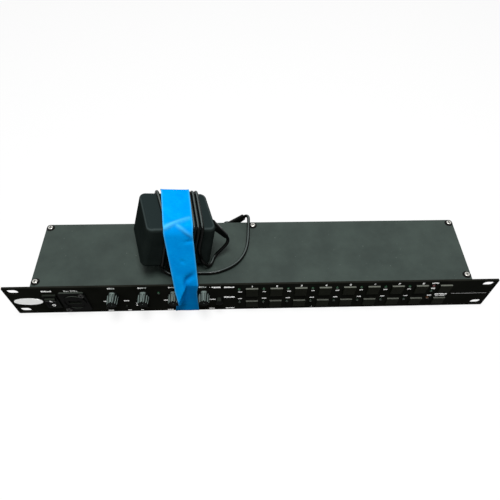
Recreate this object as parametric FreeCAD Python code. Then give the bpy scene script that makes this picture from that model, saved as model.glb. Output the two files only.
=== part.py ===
"""Rack-mount lighting controller with its mains adapter strapped on top.

Frame: millimetres, +X to the right seen from the front, +Y to the rear, +Z up. The origin is
the centre of the four rack slots, on the rear face of the ears that meets the rack rails.
"""
import FreeCAD, Part
import math
import os

V = FreeCAD.Vector

# ---------------------------------------------------------------- driving dimensions
# front panel, one rack unit
PANEL_WIDTH = 482.6
PANEL_HEIGHT = 44.0
PANEL_THICKNESS = 2.0
PANEL_CORNER = 1.0
RACK_SPACING_X = 465.1
RACK_SPACING_Z = 31.75
SLOT_LENGTH = 11.2
SLOT_HEIGHT = 6.9

# chassis
SWITCH_SIDE_CLEARANCE = 8.7     # switch body to the chassis side, outer face
BODY_DEPTH = 80.0
BODY_RAISE = 0.5           # chassis floor above the panel's lower edge
COVER_DROP = 1.45          # cover's top face below the panel's upper edge
SHEET = 1.2
COVER_THICKNESS = 1.2
COVER_CORNER = 3.0
FLANGE_WIDTH = 9.0
WINDOW_LOW_MARGIN = 3.9    # strips of the chassis front left below and above the windows
WINDOW_HIGH_MARGIN = 2.4
COVER_SCREW_SIDE = 4.1     # screw axes in from the chassis edges
COVER_SCREW_REAR = 4.55
COVER_SCREW_FRONT = 6.5

# fasteners
M3_CORE = 3.0
M3_CLEARANCE_HOLE = 3.4
M3_HEAD = 5.5
M3_HEAD_HEIGHT = 1.9
CROSS_WIDTH = 0.9
CROSS_LENGTH = 3.2
CROSS_DEPTH = 1.0
COVER_SCREW_LENGTH = 7.0
DIMPLE_DIAMETER = 8.4
DIMPLE_DEPTH = 0.5
STUD_DIAMETER = 2.5
STUD_LENGTH = 5.0
STUD_NUT_FLATS = 5.0
STUD_NUT_HEIGHT = 2.0
STUD_Z = 13.0
STUD_POSTS = ((-210.9, 3.5), (-157.5, 5.9), (-25.3, 5.2), (207.0, 8.0))  # x, half width

# clearances
FIT = 0.05                 # radial, running
SLIP = 0.1                 # between parts that only seat in each other
GAP = 0.3                  # between a moving part and what it passes

# badge
BADGE_LENGTH = 28.2
BADGE_HEIGHT = 11.0
BADGE_THICKNESS = 0.8
BADGE_X = -223.5
BADGE_Z = -0.2

# power switch
SWITCH_X = -200.2
SWITCH_Z = 0.2
BEZEL_WIDTH = 13.8
BEZEL_HEIGHT = 21.6
BEZEL_THICKNESS = 2.0
BEZEL_CORNER = 1.2
SWITCH_BODY_WIDTH = 12.6
SWITCH_BODY_HEIGHT = 19.4
SWITCH_BODY_DEPTH = 18.0
SWITCH_MOUTH_WIDTH = 10.6
SWITCH_MOUTH_HEIGHT = 17.6
SWITCH_MOUTH_DEPTH = 7.0   # behind the panel's front face
ROCKER_WIDTH = 9.8
ROCKER_HEIGHT = 15.0
ROCKER_PROUD = 3.2         # ends of the paddle in front of the panel face, level
ROCKER_VALLEY = 1.6        # middle of the paddle behind its ends
ROCKER_BACK = 4.0          # back of the paddle behind the panel's front face
ROCKER_PIVOT_DEPTH = 3.5
ROCKER_PIN_DIAMETER = 3.0
ROCKER_PIN_REACH = 5.95
ROCKER_TILT = 9.0
ROCKER_EDGE = 0.8

# lamp socket (D-size flange with a USB-A receptacle for a gooseneck lamp)
LAMP_X = -178.2
LAMP_Z = -1.0
FLANGE_PLATE_WIDTH = 26.0
FLANGE_PLATE_HEIGHT = 31.0
FLANGE_PLATE_THICKNESS = 1.6
FLANGE_PLATE_CORNER = 3.0
FLANGE_SCREW_X = 9.5
FLANGE_SCREW_Z = 12.0
FLANGE_SCREW_LENGTH = 6.5
SOCKET_BARREL = 23.6
SOCKET_DEPTH = 22.0
SOCKET_WALL = 1.8
SOCKET_RING_WIDTH = 1.0
SOCKET_RING_HEIGHT = 0.8
INSERT_RECESS = 0.6
USB_WIDTH = 12.5
USB_HEIGHT = 4.9
USB_DEPTH = 12.0
USB_TONGUE_WIDTH = 10.8
USB_TONGUE_HEIGHT = 1.7
USB_TONGUE_RISE = 0.9
USB_TONGUE_SETBACK = 1.0

# rotary controls
KNOB_X = (-139.0, -109.3, -79.6, -50.0)
KNOB_Z = 7.5
KNOB_DIAMETER = 11.2
KNOB_NOSE_DIAMETER = 10.0
KNOB_LENGTH = 11.0
KNOB_FLUTES = 12
KNOB_FLUTE_RADIUS = 0.9
KNOB_FLUTE_START = 2.0     # from the knob's rear face
KNOB_NOSE_EDGE = 0.7
KNOB_POINTER_WIDTH = 1.0
KNOB_POINTER_DEPTH = 0.4
SHAFT_DIAMETER = 6.0
SHAFT_INSERTION = 8.5      # length of the shaft inside the knob
BUSHING_DIAMETER = 7.0
POT_WIDTH = 9.6
POT_HEIGHT = 11.0
POT_DEPTH = 7.0
SHAFT_ROOT = 3.0           # length of the shaft inside the potentiometer body

# push keys, two rows
KEY_COUNT = 9
KEY_PITCH = 24.15
KEY_FIRST_X = -2.8
KEY_WIDTH = 12.0
UPPER_KEY_HEIGHT = 12.5
UPPER_KEY_Z = 9.55
LOWER_KEY_HEIGHT = 10.5
LOWER_KEY_Z = -11.25
KEY_PROUD = 1.75
KEY_BACK = 2.0             # rear of the cap behind the panel's rear face
KEY_EDGE = 0.5
KEY_LIP = 0.6              # retaining lip round the rear of the cap
KEY_LIP_THICKNESS = 1.0
PLUNGER_DIAMETER = 3.4
PLUNGER_ROOT = 0.5         # length of the plunger sunk in its cap
PLUNGER_ENTRY = 1.4        # length of the plunger inside its switch at rest
KEY_TRAVEL = 1.0
SWITCH_BLOCK_WIDTH = 9.0
SWITCH_BLOCK_HEIGHT = 8.0
SWITCH_BLOCK_DEPTH = 5.0

# round push buttons: name, x, z, diameter, proud of the panel
ROUND_BUTTONS = (("page_button_1", -148.8, -12.0, 3.6, 2.0),
                 ("page_button_2", -129.6, -12.0, 3.6, 2.0),
                 ("page_button_3", -109.5, -12.0, 3.6, 2.0),
                 ("tap_button", -35.8, -3.2, 7.4, 4.6))
BUTTON_LIP = 0.7
BUTTON_EDGE = 0.5

# indicator lamps, 3 mm
LED_DIAMETER = 3.0
LED_PROUD = 1.6
LED_BASE = 3.8
LED_BODY = 4.5             # behind the panel's front face
LED_LEG = 0.5
LED_LEG_SPACING = 2.54
LED_KEY_OFFSET = -12.6     # from the key to its right
LED_UPPER_Z = 14.4
LED_LOWER_Z = -7.5
LED_COLUMNS = 8
SINGLE_GREEN = ((-94.2, 11.0), (177.7, 6.3))
RED_LED = (177.7, 14.7)
AMBER_LED = (177.7, -6.0)

# circuit boards
BOARD_THICKNESS = 1.6
FRONT_BOARD_STANDOFF = 10.8
FRONT_BOARD_LEFT = -163.0
FRONT_BOARD_RIGHT = 212.0
FRONT_BOARD_LOW = -18.5
FRONT_BOARD_HIGH = 17.5
STANDOFF_DIAMETER = 5.0
MAIN_BOARD_STANDOFF = 5.0
MAIN_BOARD = (-120.0, 60.0, 22.0, 62.0)     # x and y limits
MAIN_BOARD_HOLE_INSET = 4.0
CHIP_SEAT = 0.2            # depth of a component's foot in the board
BOARD_SCREW_LENGTH = 5.0
CHIPS = ((-96.0, 42.0, 14.0, 14.0, 2.4), (-60.0, 38.0, 22.0, 8.0, 4.0),
         (-16.0, 44.0, 12.0, 12.0, 9.0), (26.0, 40.0, 18.0, 8.0, 3.0))  # x, y, w, d, h

# rear connectors
JACK_X = -27.5
JACK_Z = 7.6
JACK_FLANGE = 11.0
JACK_FLANGE_THICKNESS = 1.5
JACK_BARREL = 8.0
JACK_DEPTH = 13.0
JACK_COLLAR = 11.0
JACK_COLLAR_THICKNESS = 2.5
JACK_BORE = 5.6
JACK_BORE_DEPTH = 10.0
JACK_PIN = 2.0
DATA_X = 90.0
DATA_Z = -0.5
DATA_MOUTH_WIDTH = 11.8
DATA_MOUTH_HEIGHT = 8.2
DATA_MOUTH_DEPTH = 13.0

# mains adapter, in its own frame: a along its length, b across, c up from the prong face
ADAPTER_LENGTH = 68.2
ADAPTER_WIDTH = 52.9
ADAPTER_HEIGHT = 48.3
ADAPTER_TAPER_LENGTH = 2.66    # each end, bottom to top
ADAPTER_TAPER_WIDTH = 2.04     # each side, bottom to top
ADAPTER_CORNER = 6.0
ADAPTER_TOP_EDGE = 4.0
ADAPTER_BASE_EDGE = 4.0
ADAPTER_WALL = 2.2
ADAPTER_SPLIT = 11.0
ADAPTER_X = -81.9
ADAPTER_Y = 40.4
ADAPTER_YAW = 14.8
ADAPTER_LEAN = 15.4
CORE_SHARES = (0.66, 0.77, 0.64)     # of the room inside the housing: along, across, up
COIL_SHARES = (0.41, 0.99, 0.46)
CORE_END_MARGIN = 6.0          # core to the housing's end wall
PRONG_LENGTH = 15.9
PRONG_WIDTH = 6.35
PRONG_THICKNESS = 1.5
PRONG_SPACING = 12.7
PRONG_ROOT = 6.0

# low-voltage lead
LEAD_DIAMETER = 3.3
WIND_LEFT = -17.0
WIND_RIGHT = 23.5
WIND_THICKNESS = 3.6
WIND_CORNER = 8.0
RELIEF_INSIDE = 3.1                    # its root, inside the adapter's right end
RELIEF_SEAT = (-10.0, 41.0)            # across and up, in the adapter's frame
RELIEF_RUN = (17.4, -1.5, -16.0)
RELIEF_ROOT_DIAMETER = 8.0
RELIEF_TIP_DIAMETER = 5.0
PLUG_HEAD_DIAMETER = 9.5
PLUG_HEAD_LENGTH = 9.0
PLUG_HEAD_EDGE = 1.2
PLUG_BARREL = 5.5
PLUG_BARREL_LENGTH = 9.5
PLUG_BARREL_BORE = 2.2
PLUG_ARM_LENGTH = 23.0
PLUG_ARM_TILT = 50.0           # from upright, towards +X
PLUG_ARM_ROOT = 8.9
PLUG_ARM_TIP = 6.4

# strapping tape
TAPE_THICKNESS = 0.4
TAPE_CLEAR = 0.12              # inner face of the tape off what it wraps
# its two edges along the adapter, at the rear side, over the roof and at the front side
TAPE_ADAPTER_SPANS = ((-11.2, 15.2), (-12.0, 14.6), (-18.6, 8.2), (-18.6, 7.6))
# on the case, places are x; in front they are those of the left edge, ridge, valley and right edge
TAPE_FOLD_SHARES = (0.34, 0.56)  # where the long fold's two lines cross the flat courses
TAPE_FOLD_START = 0.72           # share of the free run to the panel that is still flat
# at the panel's top edge each comes with how far it stands off the panel's face
TAPE_PANEL_TOP = ((-76.0, 8.2), (-67.6, 5.5), (-66.0, 0.0), (-54.4, 0.0))
TAPE_HOOK_WIDTH = 1.4            # of the strip that catches on the knob's nose
TAPE_RIDGE_ROOM = 0.8            # ridge to the knob's side
TAPE_NOSE_TOP = (-68.3, -56.6)
TAPE_NOSE_FOOT = (-68.8, -57.0)
TAPE_LANDING_DROP = 20.0         # below the knob's axis
TAPE_LANDING = (-80.2, -74.0, -69.0, -57.4)
TAPE_PANEL_FOOT = (-81.8, -75.0, -69.4, -57.6)
TAPE_REAR_FOOT = (-86.0, -61.0)
TAPE_REAR_TOP = (-87.0, -62.0)

# ---------------------------------------------------------------- derived places
FRONT = -PANEL_THICKNESS
PANEL_LOW = -PANEL_HEIGHT / 2
PANEL_HIGH = PANEL_HEIGHT / 2
BODY_LOW = PANEL_LOW + BODY_RAISE
COVER_TOP = PANEL_HIGH - COVER_DROP
TRAY_TOP = COVER_TOP - COVER_THICKNESS
HALF_BODY = SWITCH_BODY_WIDTH / 2 + SWITCH_SIDE_CLEARANCE - SWITCH_X
FLOOR = BODY_LOW + SHEET
FRONT_BOARD_Y = SHEET + FRONT_BOARD_STANDOFF
SWITCH_BLOCK_Y = FRONT_BOARD_Y - SWITCH_BLOCK_DEPTH
REAR = BODY_DEPTH
HEAD_SEAT = COVER_TOP - DIMPLE_DEPTH


# ---------------------------------------------------------------- helpers
def box(x0, x1, y0, y1, z0, z1):
    return Part.makeBox(x1 - x0, y1 - y0, z1 - z0, V(x0, y0, z0))


def rod(start, direction, diameter, length):
    return Part.makeCylinder(diameter / 2, length, V(*start), V(*direction))


def cone(start, direction, d0, d1, length):
    return Part.makeCone(d0 / 2, d1 / 2, length, V(*start), V(*direction))


def round_box_y(cx, cz, width, height, y0, y1, radius):
    """Box whose four edges along Y are rounded."""
    solid = box(cx - width / 2, cx + width / 2, y0, y1, cz - height / 2, cz + height / 2)
    along_y = [e for e in solid.Edges if abs(e.tangentAt(e.FirstParameter).y) > 0.99]
    return solid.makeFillet(radius, along_y)


def obround_y(cx, cz, length, height, y0, y1):
    """Slot-shaped bar along Y, its long axis along X."""
    reach = length / 2 - height / 2
    bar = box(cx - reach, cx + reach, y0, y1, cz - height / 2, cz + height / 2)
    ends = [rod((cx + s * reach, y0, cz), (0, 1, 0), height, y1 - y0) for s in (-1, 1)]
    return bar.fuse(ends).removeSplitter()


def hex_y(cx, cz, flats, y0, y1):
    """Hexagonal prism along Y with a flat facing +X."""
    corner = flats / 2 / math.cos(math.radians(30))
    points = []
    for k in range(7):
        angle = math.radians(60 * k + 30)
        points.append(V(cx + corner * math.cos(angle), y0, cz + corner * math.sin(angle)))
    return Part.Face(Part.makePolygon(points)).extrude(V(0, y1 - y0, 0))


def pan_screw(seat, direction, shank, length, head, head_height):
    """Cross-recessed screw. seat is the centre of the face under its head."""
    d = V(*direction)
    seat = V(*seat)
    screw = Part.makeCylinder(shank / 2, length, seat, d)
    crown = Part.makeCylinder(head / 2, head_height, seat - d * head_height, d)
    rim = [e for e in crown.Edges if (e.CenterOfMass - (seat - d * head_height)).Length < 0.01]
    screw = screw.fuse(crown.makeFillet(head_height * 0.45, rim))
    for turn in (0, 90):
        slot = Part.makeBox(CROSS_LENGTH, CROSS_WIDTH, CROSS_DEPTH,
                            V(-CROSS_LENGTH / 2, -CROSS_WIDTH / 2, 0))
        slot.rotate(V(0, 0, 0), V(0, 0, 1), turn)
        slot.Placement = FreeCAD.Placement(seat - d * head_height,
                                           FreeCAD.Rotation(V(0, 0, 1), d)) * slot.Placement
        screw = screw.cut(slot)
    return screw


def save(name, shape):
    if isinstance(shape, (list, tuple)):
        shape = Part.makeCompound(list(shape))
    if not shape.isValid() or not shape.Solids:
        raise ValueError("bad shape: " + name)
    shape.exportStep("parts/" + name + ".step")
    print("%-22s solids %2d  volume %10.1f" % (name, len(shape.Solids), shape.Volume))


# ---------------------------------------------------------------- chassis
def cover_screw_places():
    side = HALF_BODY - COVER_SCREW_SIDE
    rear = REAR - COVER_SCREW_REAR
    return [(-side, COVER_SCREW_FRONT), (side, COVER_SCREW_FRONT),
            (-side, rear), (0.0, rear), (side, rear)]


def front_windows():
    """Openings in the chassis front between the posts that carry the panel studs."""
    spans = []
    for (x0, half0), (x1, half1) in zip(STUD_POSTS, STUD_POSTS[1:]):
        spans.append((x0 + half0, x1 - half1))
    return spans


def front_board_fixings():
    """x of the posts that also carry the front circuit board, at mid height."""
    return [x for x, half in STUD_POSTS[1:]]


def main_board_fixings():
    x0, x1, y0, y1 = MAIN_BOARD
    inset = MAIN_BOARD_HOLE_INSET
    return [(x, y) for x in (x0 + inset, x1 - inset) for y in (y0 + inset, y1 - inset)]


def make_tray():
    tray = box(-HALF_BODY, HALF_BODY, 0, REAR, BODY_LOW, TRAY_TOP)
    tray = tray.cut(box(-HALF_BODY + SHEET, HALF_BODY - SHEET, SHEET, REAR - SHEET,
                        FLOOR, TRAY_TOP - SHEET))
    tray = tray.cut(box(-HALF_BODY + FLANGE_WIDTH, HALF_BODY - FLANGE_WIDTH,
                        FLANGE_WIDTH, REAR - FLANGE_WIDTH, FLOOR, TRAY_TOP + 1))
    cuts = []
    for x0, x1 in front_windows():
        cuts.append(box(x0, x1, -1, SHEET + 1, BODY_LOW + WINDOW_LOW_MARGIN,
                        TRAY_TOP - WINDOW_HIGH_MARGIN))
    for x, half in STUD_POSTS:
        for z in (-STUD_Z, STUD_Z):
            cuts.append(rod((x, -1, z), (0, 1, 0), STUD_DIAMETER + 2 * SLIP, SHEET + 2))
    for x, y in cover_screw_places():
        cuts.append(rod((x, y, TRAY_TOP - SHEET - 1), (0, 0, 1), M3_CORE + 2 * FIT, SHEET + 2))
    wall = REAR - SHEET
    cuts.append(rod((JACK_X, wall - 1, JACK_Z), (0, 1, 0), JACK_BARREL + 2 * SLIP, SHEET + 2))
    cuts.append(rod((DATA_X, wall - 1, DATA_Z), (0, 1, 0), SOCKET_BARREL + 2 * SLIP, SHEET + 2))
    for s in (-1, 1):
        cuts.append(rod((DATA_X + s * FLANGE_SCREW_X, wall - 1, DATA_Z + s * FLANGE_SCREW_Z),
                        (0, 1, 0), M3_CORE + 2 * FIT, SHEET + 2))
    return tray.cut(cuts)


def make_cover():
    cover = box(-HALF_BODY, HALF_BODY, 0, REAR, TRAY_TOP, COVER_TOP)
    corners = [e for e in cover.Edges if abs(e.tangentAt(e.FirstParameter).z) > 0.99
               and e.CenterOfMass.y > REAR / 2]
    cover = cover.makeFillet(COVER_CORNER, corners)
    cuts = []
    for x, y in cover_screw_places():
        cuts.append(rod((x, y, TRAY_TOP - 1), (0, 0, 1), M3_CLEARANCE_HOLE, COVER_THICKNESS + 2))
        cuts.append(cone((x, y, HEAD_SEAT), (0, 0, 1), M3_HEAD + 2 * GAP, DIMPLE_DIAMETER,
                         DIMPLE_DEPTH + 0.001))
    return cover.cut(cuts)


def make_cover_and_board_screws():
    screws = []
    for x, y in cover_screw_places():
        screws.append(pan_screw((x, y, HEAD_SEAT), (0, 0, -1), M3_CORE, COVER_SCREW_LENGTH,
                                M3_HEAD, M3_HEAD_HEIGHT))
    for x in front_board_fixings():
        screws.append(pan_screw((x, FRONT_BOARD_Y + BOARD_THICKNESS, 0), (0, -1, 0), M3_CORE,
                                BOARD_SCREW_LENGTH, M3_HEAD, M3_HEAD_HEIGHT))
    top = FLOOR + MAIN_BOARD_STANDOFF + BOARD_THICKNESS
    for x, y in main_board_fixings():
        screws.append(pan_screw((x, y, top), (0, 0, -1), M3_CORE, BOARD_SCREW_LENGTH,
                                M3_HEAD, M3_HEAD_HEIGHT))
    return screws


def key_places():
    """(name, x, z, height) of every rectangular key, the upper row first."""
    rows = (("upper", UPPER_KEY_Z, UPPER_KEY_HEIGHT), ("lower", LOWER_KEY_Z, LOWER_KEY_HEIGHT))
    places = []
    for row, z, height in rows:
        for n in range(KEY_COUNT):
            places.append(("key_%s_%d" % (row, n + 1), KEY_FIRST_X + n * KEY_PITCH, z, height))
    return places


def green_led_places():
    places = list(SINGLE_GREEN)
    for n in range(LED_COLUMNS):
        x = KEY_FIRST_X + n * KEY_PITCH + LED_KEY_OFFSET
        places.append((x, LED_UPPER_Z))
        places.append((x, LED_LOWER_Z))
    return places


def make_panel():
    panel = round_box_y(0, 0, PANEL_WIDTH, PANEL_HEIGHT, FRONT, 0, PANEL_CORNER)
    y0, depth = FRONT - 1, PANEL_THICKNESS + 2
    cuts = []
    for sx in (-1, 1):
        for sz in (-1, 1):
            cuts.append(obround_y(sx * RACK_SPACING_X / 2, sz * RACK_SPACING_Z / 2,
                                  SLOT_LENGTH, SLOT_HEIGHT, y0, 1))
    cuts.append(box(SWITCH_X - SWITCH_BODY_WIDTH / 2 - SLIP, SWITCH_X + SWITCH_BODY_WIDTH / 2 + SLIP,
                    y0, 1, SWITCH_Z - SWITCH_BODY_HEIGHT / 2 - SLIP,
                    SWITCH_Z + SWITCH_BODY_HEIGHT / 2 + SLIP))
    cuts.append(rod((LAMP_X, y0, LAMP_Z), (0, 1, 0), SOCKET_BARREL + 2 * SLIP, depth))
    for s in (-1, 1):
        cuts.append(rod((LAMP_X + s * FLANGE_SCREW_X, y0, LAMP_Z + s * FLANGE_SCREW_Z),
                        (0, 1, 0), M3_CORE + 2 * FIT, depth))
    for x in KNOB_X:
        cuts.append(rod((x, y0, KNOB_Z), (0, 1, 0), BUSHING_DIAMETER + 2 * SLIP, depth))
    for name, x, z, height in key_places():
        cuts.append(box(x - KEY_WIDTH / 2 - GAP, x + KEY_WIDTH / 2 + GAP, y0, 1,
                        z - height / 2 - GAP, z + height / 2 + GAP))
    for name, x, z, diameter, proud in ROUND_BUTTONS:
        cuts.append(rod((x, y0, z), (0, 1, 0), diameter + 2 * GAP, depth))
    for x, z in green_led_places() + [RED_LED, AMBER_LED]:
        cuts.append(rod((x, y0, z), (0, 1, 0), LED_DIAMETER + 2 * SLIP, depth))
    panel = panel.cut(cuts)
    studs = []
    for x, half in STUD_POSTS:
        for z in (-STUD_Z, STUD_Z):
            studs.append(rod((x, FRONT / 2, z), (0, 1, 0), STUD_DIAMETER, STUD_LENGTH - FRONT / 2))
    return panel.fuse(studs).removeSplitter()


def make_panel_nuts():
    nuts = []
    for x, half in STUD_POSTS:
        for z in (-STUD_Z, STUD_Z):
            nut = hex_y(x, z, STUD_NUT_FLATS, SHEET, SHEET + STUD_NUT_HEIGHT)
            nuts.append(nut.cut(rod((x, 0, z), (0, 1, 0), STUD_DIAMETER + 2 * FIT, STUD_LENGTH)))
    return nuts


def make_badge():
    ellipse = Part.Ellipse(V(BADGE_X, FRONT, BADGE_Z), BADGE_LENGTH / 2, BADGE_HEIGHT / 2)
    plate = Part.Face(Part.Wire([ellipse.toShape()])).extrude(V(0, 0, BADGE_THICKNESS))
    plate.rotate(V(BADGE_X, FRONT, BADGE_Z), V(1, 0, 0), 90)
    rim = [e for e in plate.Edges if abs(e.CenterOfMass.y - (FRONT - BADGE_THICKNESS)) < 0.01]
    return plate.makeFillet(BADGE_THICKNESS / 2, rim)


# ---------------------------------------------------------------- power switch
def pivot_y():
    return FRONT + ROCKER_PIVOT_DEPTH


def make_switch_housing():
    bezel = round_box_y(SWITCH_X, SWITCH_Z, BEZEL_WIDTH, BEZEL_HEIGHT,
                        FRONT - BEZEL_THICKNESS, FRONT, BEZEL_CORNER)
    body = box(SWITCH_X - SWITCH_BODY_WIDTH / 2, SWITCH_X + SWITCH_BODY_WIDTH / 2, FRONT,
               FRONT + SWITCH_BODY_DEPTH, SWITCH_Z - SWITCH_BODY_HEIGHT / 2,
               SWITCH_Z + SWITCH_BODY_HEIGHT / 2)
    mouth = box(SWITCH_X - SWITCH_MOUTH_WIDTH / 2, SWITCH_X + SWITCH_MOUTH_WIDTH / 2,
                FRONT - BEZEL_THICKNESS - 1, FRONT + SWITCH_MOUTH_DEPTH,
                SWITCH_Z - SWITCH_MOUTH_HEIGHT / 2, SWITCH_Z + SWITCH_MOUTH_HEIGHT / 2)
    reach = ROCKER_PIN_REACH + SLIP
    bearing = rod((SWITCH_X - reach, pivot_y(), SWITCH_Z), (1, 0, 0),
                  ROCKER_PIN_DIAMETER + 2 * FIT, 2 * reach)
    return bezel.fuse(body).removeSplitter().cut([mouth, bearing])


def make_rocker():
    """Paddle with a shallow valley, tipped so that its lower half is pushed in."""
    half = ROCKER_HEIGHT / 2
    front, valley = FRONT - ROCKER_PROUD, FRONT - ROCKER_PROUD + ROCKER_VALLEY
    back = FRONT + ROCKER_BACK
    profile = [(front, -half), (valley, 0), (front, half), (back, half), (back, -half)]
    points = [V(SWITCH_X - ROCKER_WIDTH / 2, y, SWITCH_Z + z) for y, z in profile]
    paddle = Part.Face(Part.makePolygon(points + points[:1])).extrude(V(ROCKER_WIDTH, 0, 0))
    tips = [e for e in paddle.Edges if abs(e.tangentAt(e.FirstParameter).x) > 0.99
            and abs(e.CenterOfMass.y - front) < 0.01]
    paddle = paddle.makeFillet(ROCKER_EDGE, tips)
    pins = rod((SWITCH_X - ROCKER_PIN_REACH, pivot_y(), SWITCH_Z), (1, 0, 0),
               ROCKER_PIN_DIAMETER, 2 * ROCKER_PIN_REACH)
    rocker = paddle.fuse(pins).removeSplitter()
    rocker.rotate(V(SWITCH_X, pivot_y(), SWITCH_Z), V(1, 0, 0), ROCKER_TILT)
    return rocker


# ---------------------------------------------------------------- D-size sockets
def flange_shell(cx, cz, face_y, outward):
    """Flange plate and barrel shell of a D-size socket. outward is -1 front, +1 rear."""
    y_out = face_y + outward * FLANGE_PLATE_THICKNESS
    plate = round_box_y(cx, cz, FLANGE_PLATE_WIDTH, FLANGE_PLATE_HEIGHT, min(face_y, y_out),
                        max(face_y, y_out), FLANGE_PLATE_CORNER)
    barrel = rod((cx, face_y, cz), (0, -outward, 0), SOCKET_BARREL, SOCKET_DEPTH)
    ring = rod((cx, y_out, cz), (0, outward, 0),
               SOCKET_BARREL - 2 * SOCKET_WALL + 2 * SOCKET_RING_WIDTH, SOCKET_RING_HEIGHT)
    screws = []
    for s in (-1, 1):
        screws.append(rod((cx + s * FLANGE_SCREW_X, face_y - 3, cz + s * FLANGE_SCREW_Z),
                          (0, 1, 0), M3_CLEARANCE_HOLE, 6))
    return plate.fuse([barrel, ring]).removeSplitter().cut(screws)


def make_lamp_socket():
    shell = flange_shell(LAMP_X, LAMP_Z, FRONT, -1)
    top = FRONT - FLANGE_PLATE_THICKNESS - SOCKET_RING_HEIGHT
    bore = rod((LAMP_X, top - 1, LAMP_Z), (0, 1, 0), SOCKET_BARREL - 2 * SOCKET_WALL,
               1 + FLANGE_PLATE_THICKNESS + SOCKET_RING_HEIGHT + SOCKET_DEPTH - SOCKET_WALL)
    return shell.cut(bore)


def make_lamp_insert():
    diameter = SOCKET_BARREL - 2 * SOCKET_WALL - 2 * SLIP
    y0 = FRONT - FLANGE_PLATE_THICKNESS - SOCKET_RING_HEIGHT + INSERT_RECESS
    y1 = FRONT + SOCKET_DEPTH - SOCKET_WALL
    insert = rod((LAMP_X, y0, LAMP_Z), (0, 1, 0), diameter, y1 - y0)
    mouth = box(LAMP_X - USB_WIDTH / 2, LAMP_X + USB_WIDTH / 2, y0 - 1, y0 + USB_DEPTH,
                LAMP_Z - USB_HEIGHT / 2, LAMP_Z + USB_HEIGHT / 2)
    tongue_z = LAMP_Z + USB_TONGUE_RISE
    tongue = box(LAMP_X - USB_TONGUE_WIDTH / 2, LAMP_X + USB_TONGUE_WIDTH / 2, y0 + USB_TONGUE_SETBACK,
                 y0 + USB_DEPTH, tongue_z - USB_TONGUE_HEIGHT / 2, tongue_z + USB_TONGUE_HEIGHT / 2)
    return insert.cut(mouth).fuse(tongue).removeSplitter()


def make_data_socket():
    shell = flange_shell(DATA_X, DATA_Z, REAR, 1)
    face = REAR + FLANGE_PLATE_THICKNESS + SOCKET_RING_HEIGHT
    mouth = box(DATA_X - DATA_MOUTH_WIDTH / 2, DATA_X + DATA_MOUTH_WIDTH / 2,
                face - DATA_MOUTH_DEPTH, face + 1,
                DATA_Z - DATA_MOUTH_HEIGHT / 2, DATA_Z + DATA_MOUTH_HEIGHT / 2)
    return shell.cut(mouth)


def make_socket_screws():
    screws = []
    for cx, cz, face, outward in ((LAMP_X, LAMP_Z, FRONT, -1), (DATA_X, DATA_Z, REAR, 1)):
        for s in (-1, 1):
            seat = (cx + s * FLANGE_SCREW_X, face + outward * FLANGE_PLATE_THICKNESS,
                    cz + s * FLANGE_SCREW_Z)
            screws.append(pan_screw(seat, (0, -outward, 0), M3_CORE, FLANGE_SCREW_LENGTH,
                                    M3_HEAD, M3_HEAD_HEIGHT))
    return screws


# ---------------------------------------------------------------- rotary controls
def make_knob(x):
    y0 = FRONT - GAP
    knob = cone((x, y0, KNOB_Z), (0, -1, 0), KNOB_DIAMETER, KNOB_NOSE_DIAMETER, KNOB_LENGTH)
    nose = [e for e in knob.Edges if abs(e.CenterOfMass.y - (y0 - KNOB_LENGTH)) < 0.01]
    knob = knob.makeFillet(KNOB_NOSE_EDGE, nose)
    flutes = []
    for k in range(KNOB_FLUTES):
        angle = 2 * math.pi * (k + 0.5) / KNOB_FLUTES
        root = KNOB_DIAMETER / 2 + 0.15
        tip = KNOB_NOSE_DIAMETER / 2 + 0.15
        start = V(x + root * math.cos(angle), y0 - KNOB_FLUTE_START, KNOB_Z + root * math.sin(angle))
        end = V(x + tip * math.cos(angle), y0 - KNOB_LENGTH - 0.5, KNOB_Z + tip * math.sin(angle))
        flutes.append(Part.makeCylinder(KNOB_FLUTE_RADIUS, (end - start).Length, start, end - start))
    knob = knob.cut(flutes)
    bore = rod((x, y0, KNOB_Z), (0, -1, 0), SHAFT_DIAMETER + 2 * FIT, SHAFT_INSERTION)
    groove = box(x - KNOB_POINTER_WIDTH / 2, x + KNOB_POINTER_WIDTH / 2, y0 - KNOB_LENGTH - 1,
                 y0 - KNOB_LENGTH + KNOB_POINTER_DEPTH, KNOB_Z, KNOB_Z + KNOB_DIAMETER)
    return knob.cut([bore, groove])


def make_pot_shaft(x):
    y_tip = FRONT - GAP - SHAFT_INSERTION
    y_root = FRONT_BOARD_Y - POT_DEPTH + SHAFT_ROOT
    return rod((x, y_tip, KNOB_Z), (0, 1, 0), SHAFT_DIAMETER, y_root - y_tip)


def make_pot_bodies():
    bodies = []
    for x in KNOB_X:
        y0 = FRONT_BOARD_Y - POT_DEPTH
        body = box(x - POT_WIDTH / 2, x + POT_WIDTH / 2, y0, FRONT_BOARD_Y,
                   KNOB_Z - POT_HEIGHT / 2, KNOB_Z + POT_HEIGHT / 2)
        bushing = rod((x, FRONT, KNOB_Z), (0, 1, 0), BUSHING_DIAMETER, y0 - FRONT)
        bore = rod((x, FRONT - 1, KNOB_Z), (0, 1, 0), SHAFT_DIAMETER + 2 * FIT,
                   y0 + SHAFT_ROOT + SLIP - FRONT + 1)
        bodies.append(body.fuse(bushing).removeSplitter().cut(bore))
    return bodies


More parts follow.
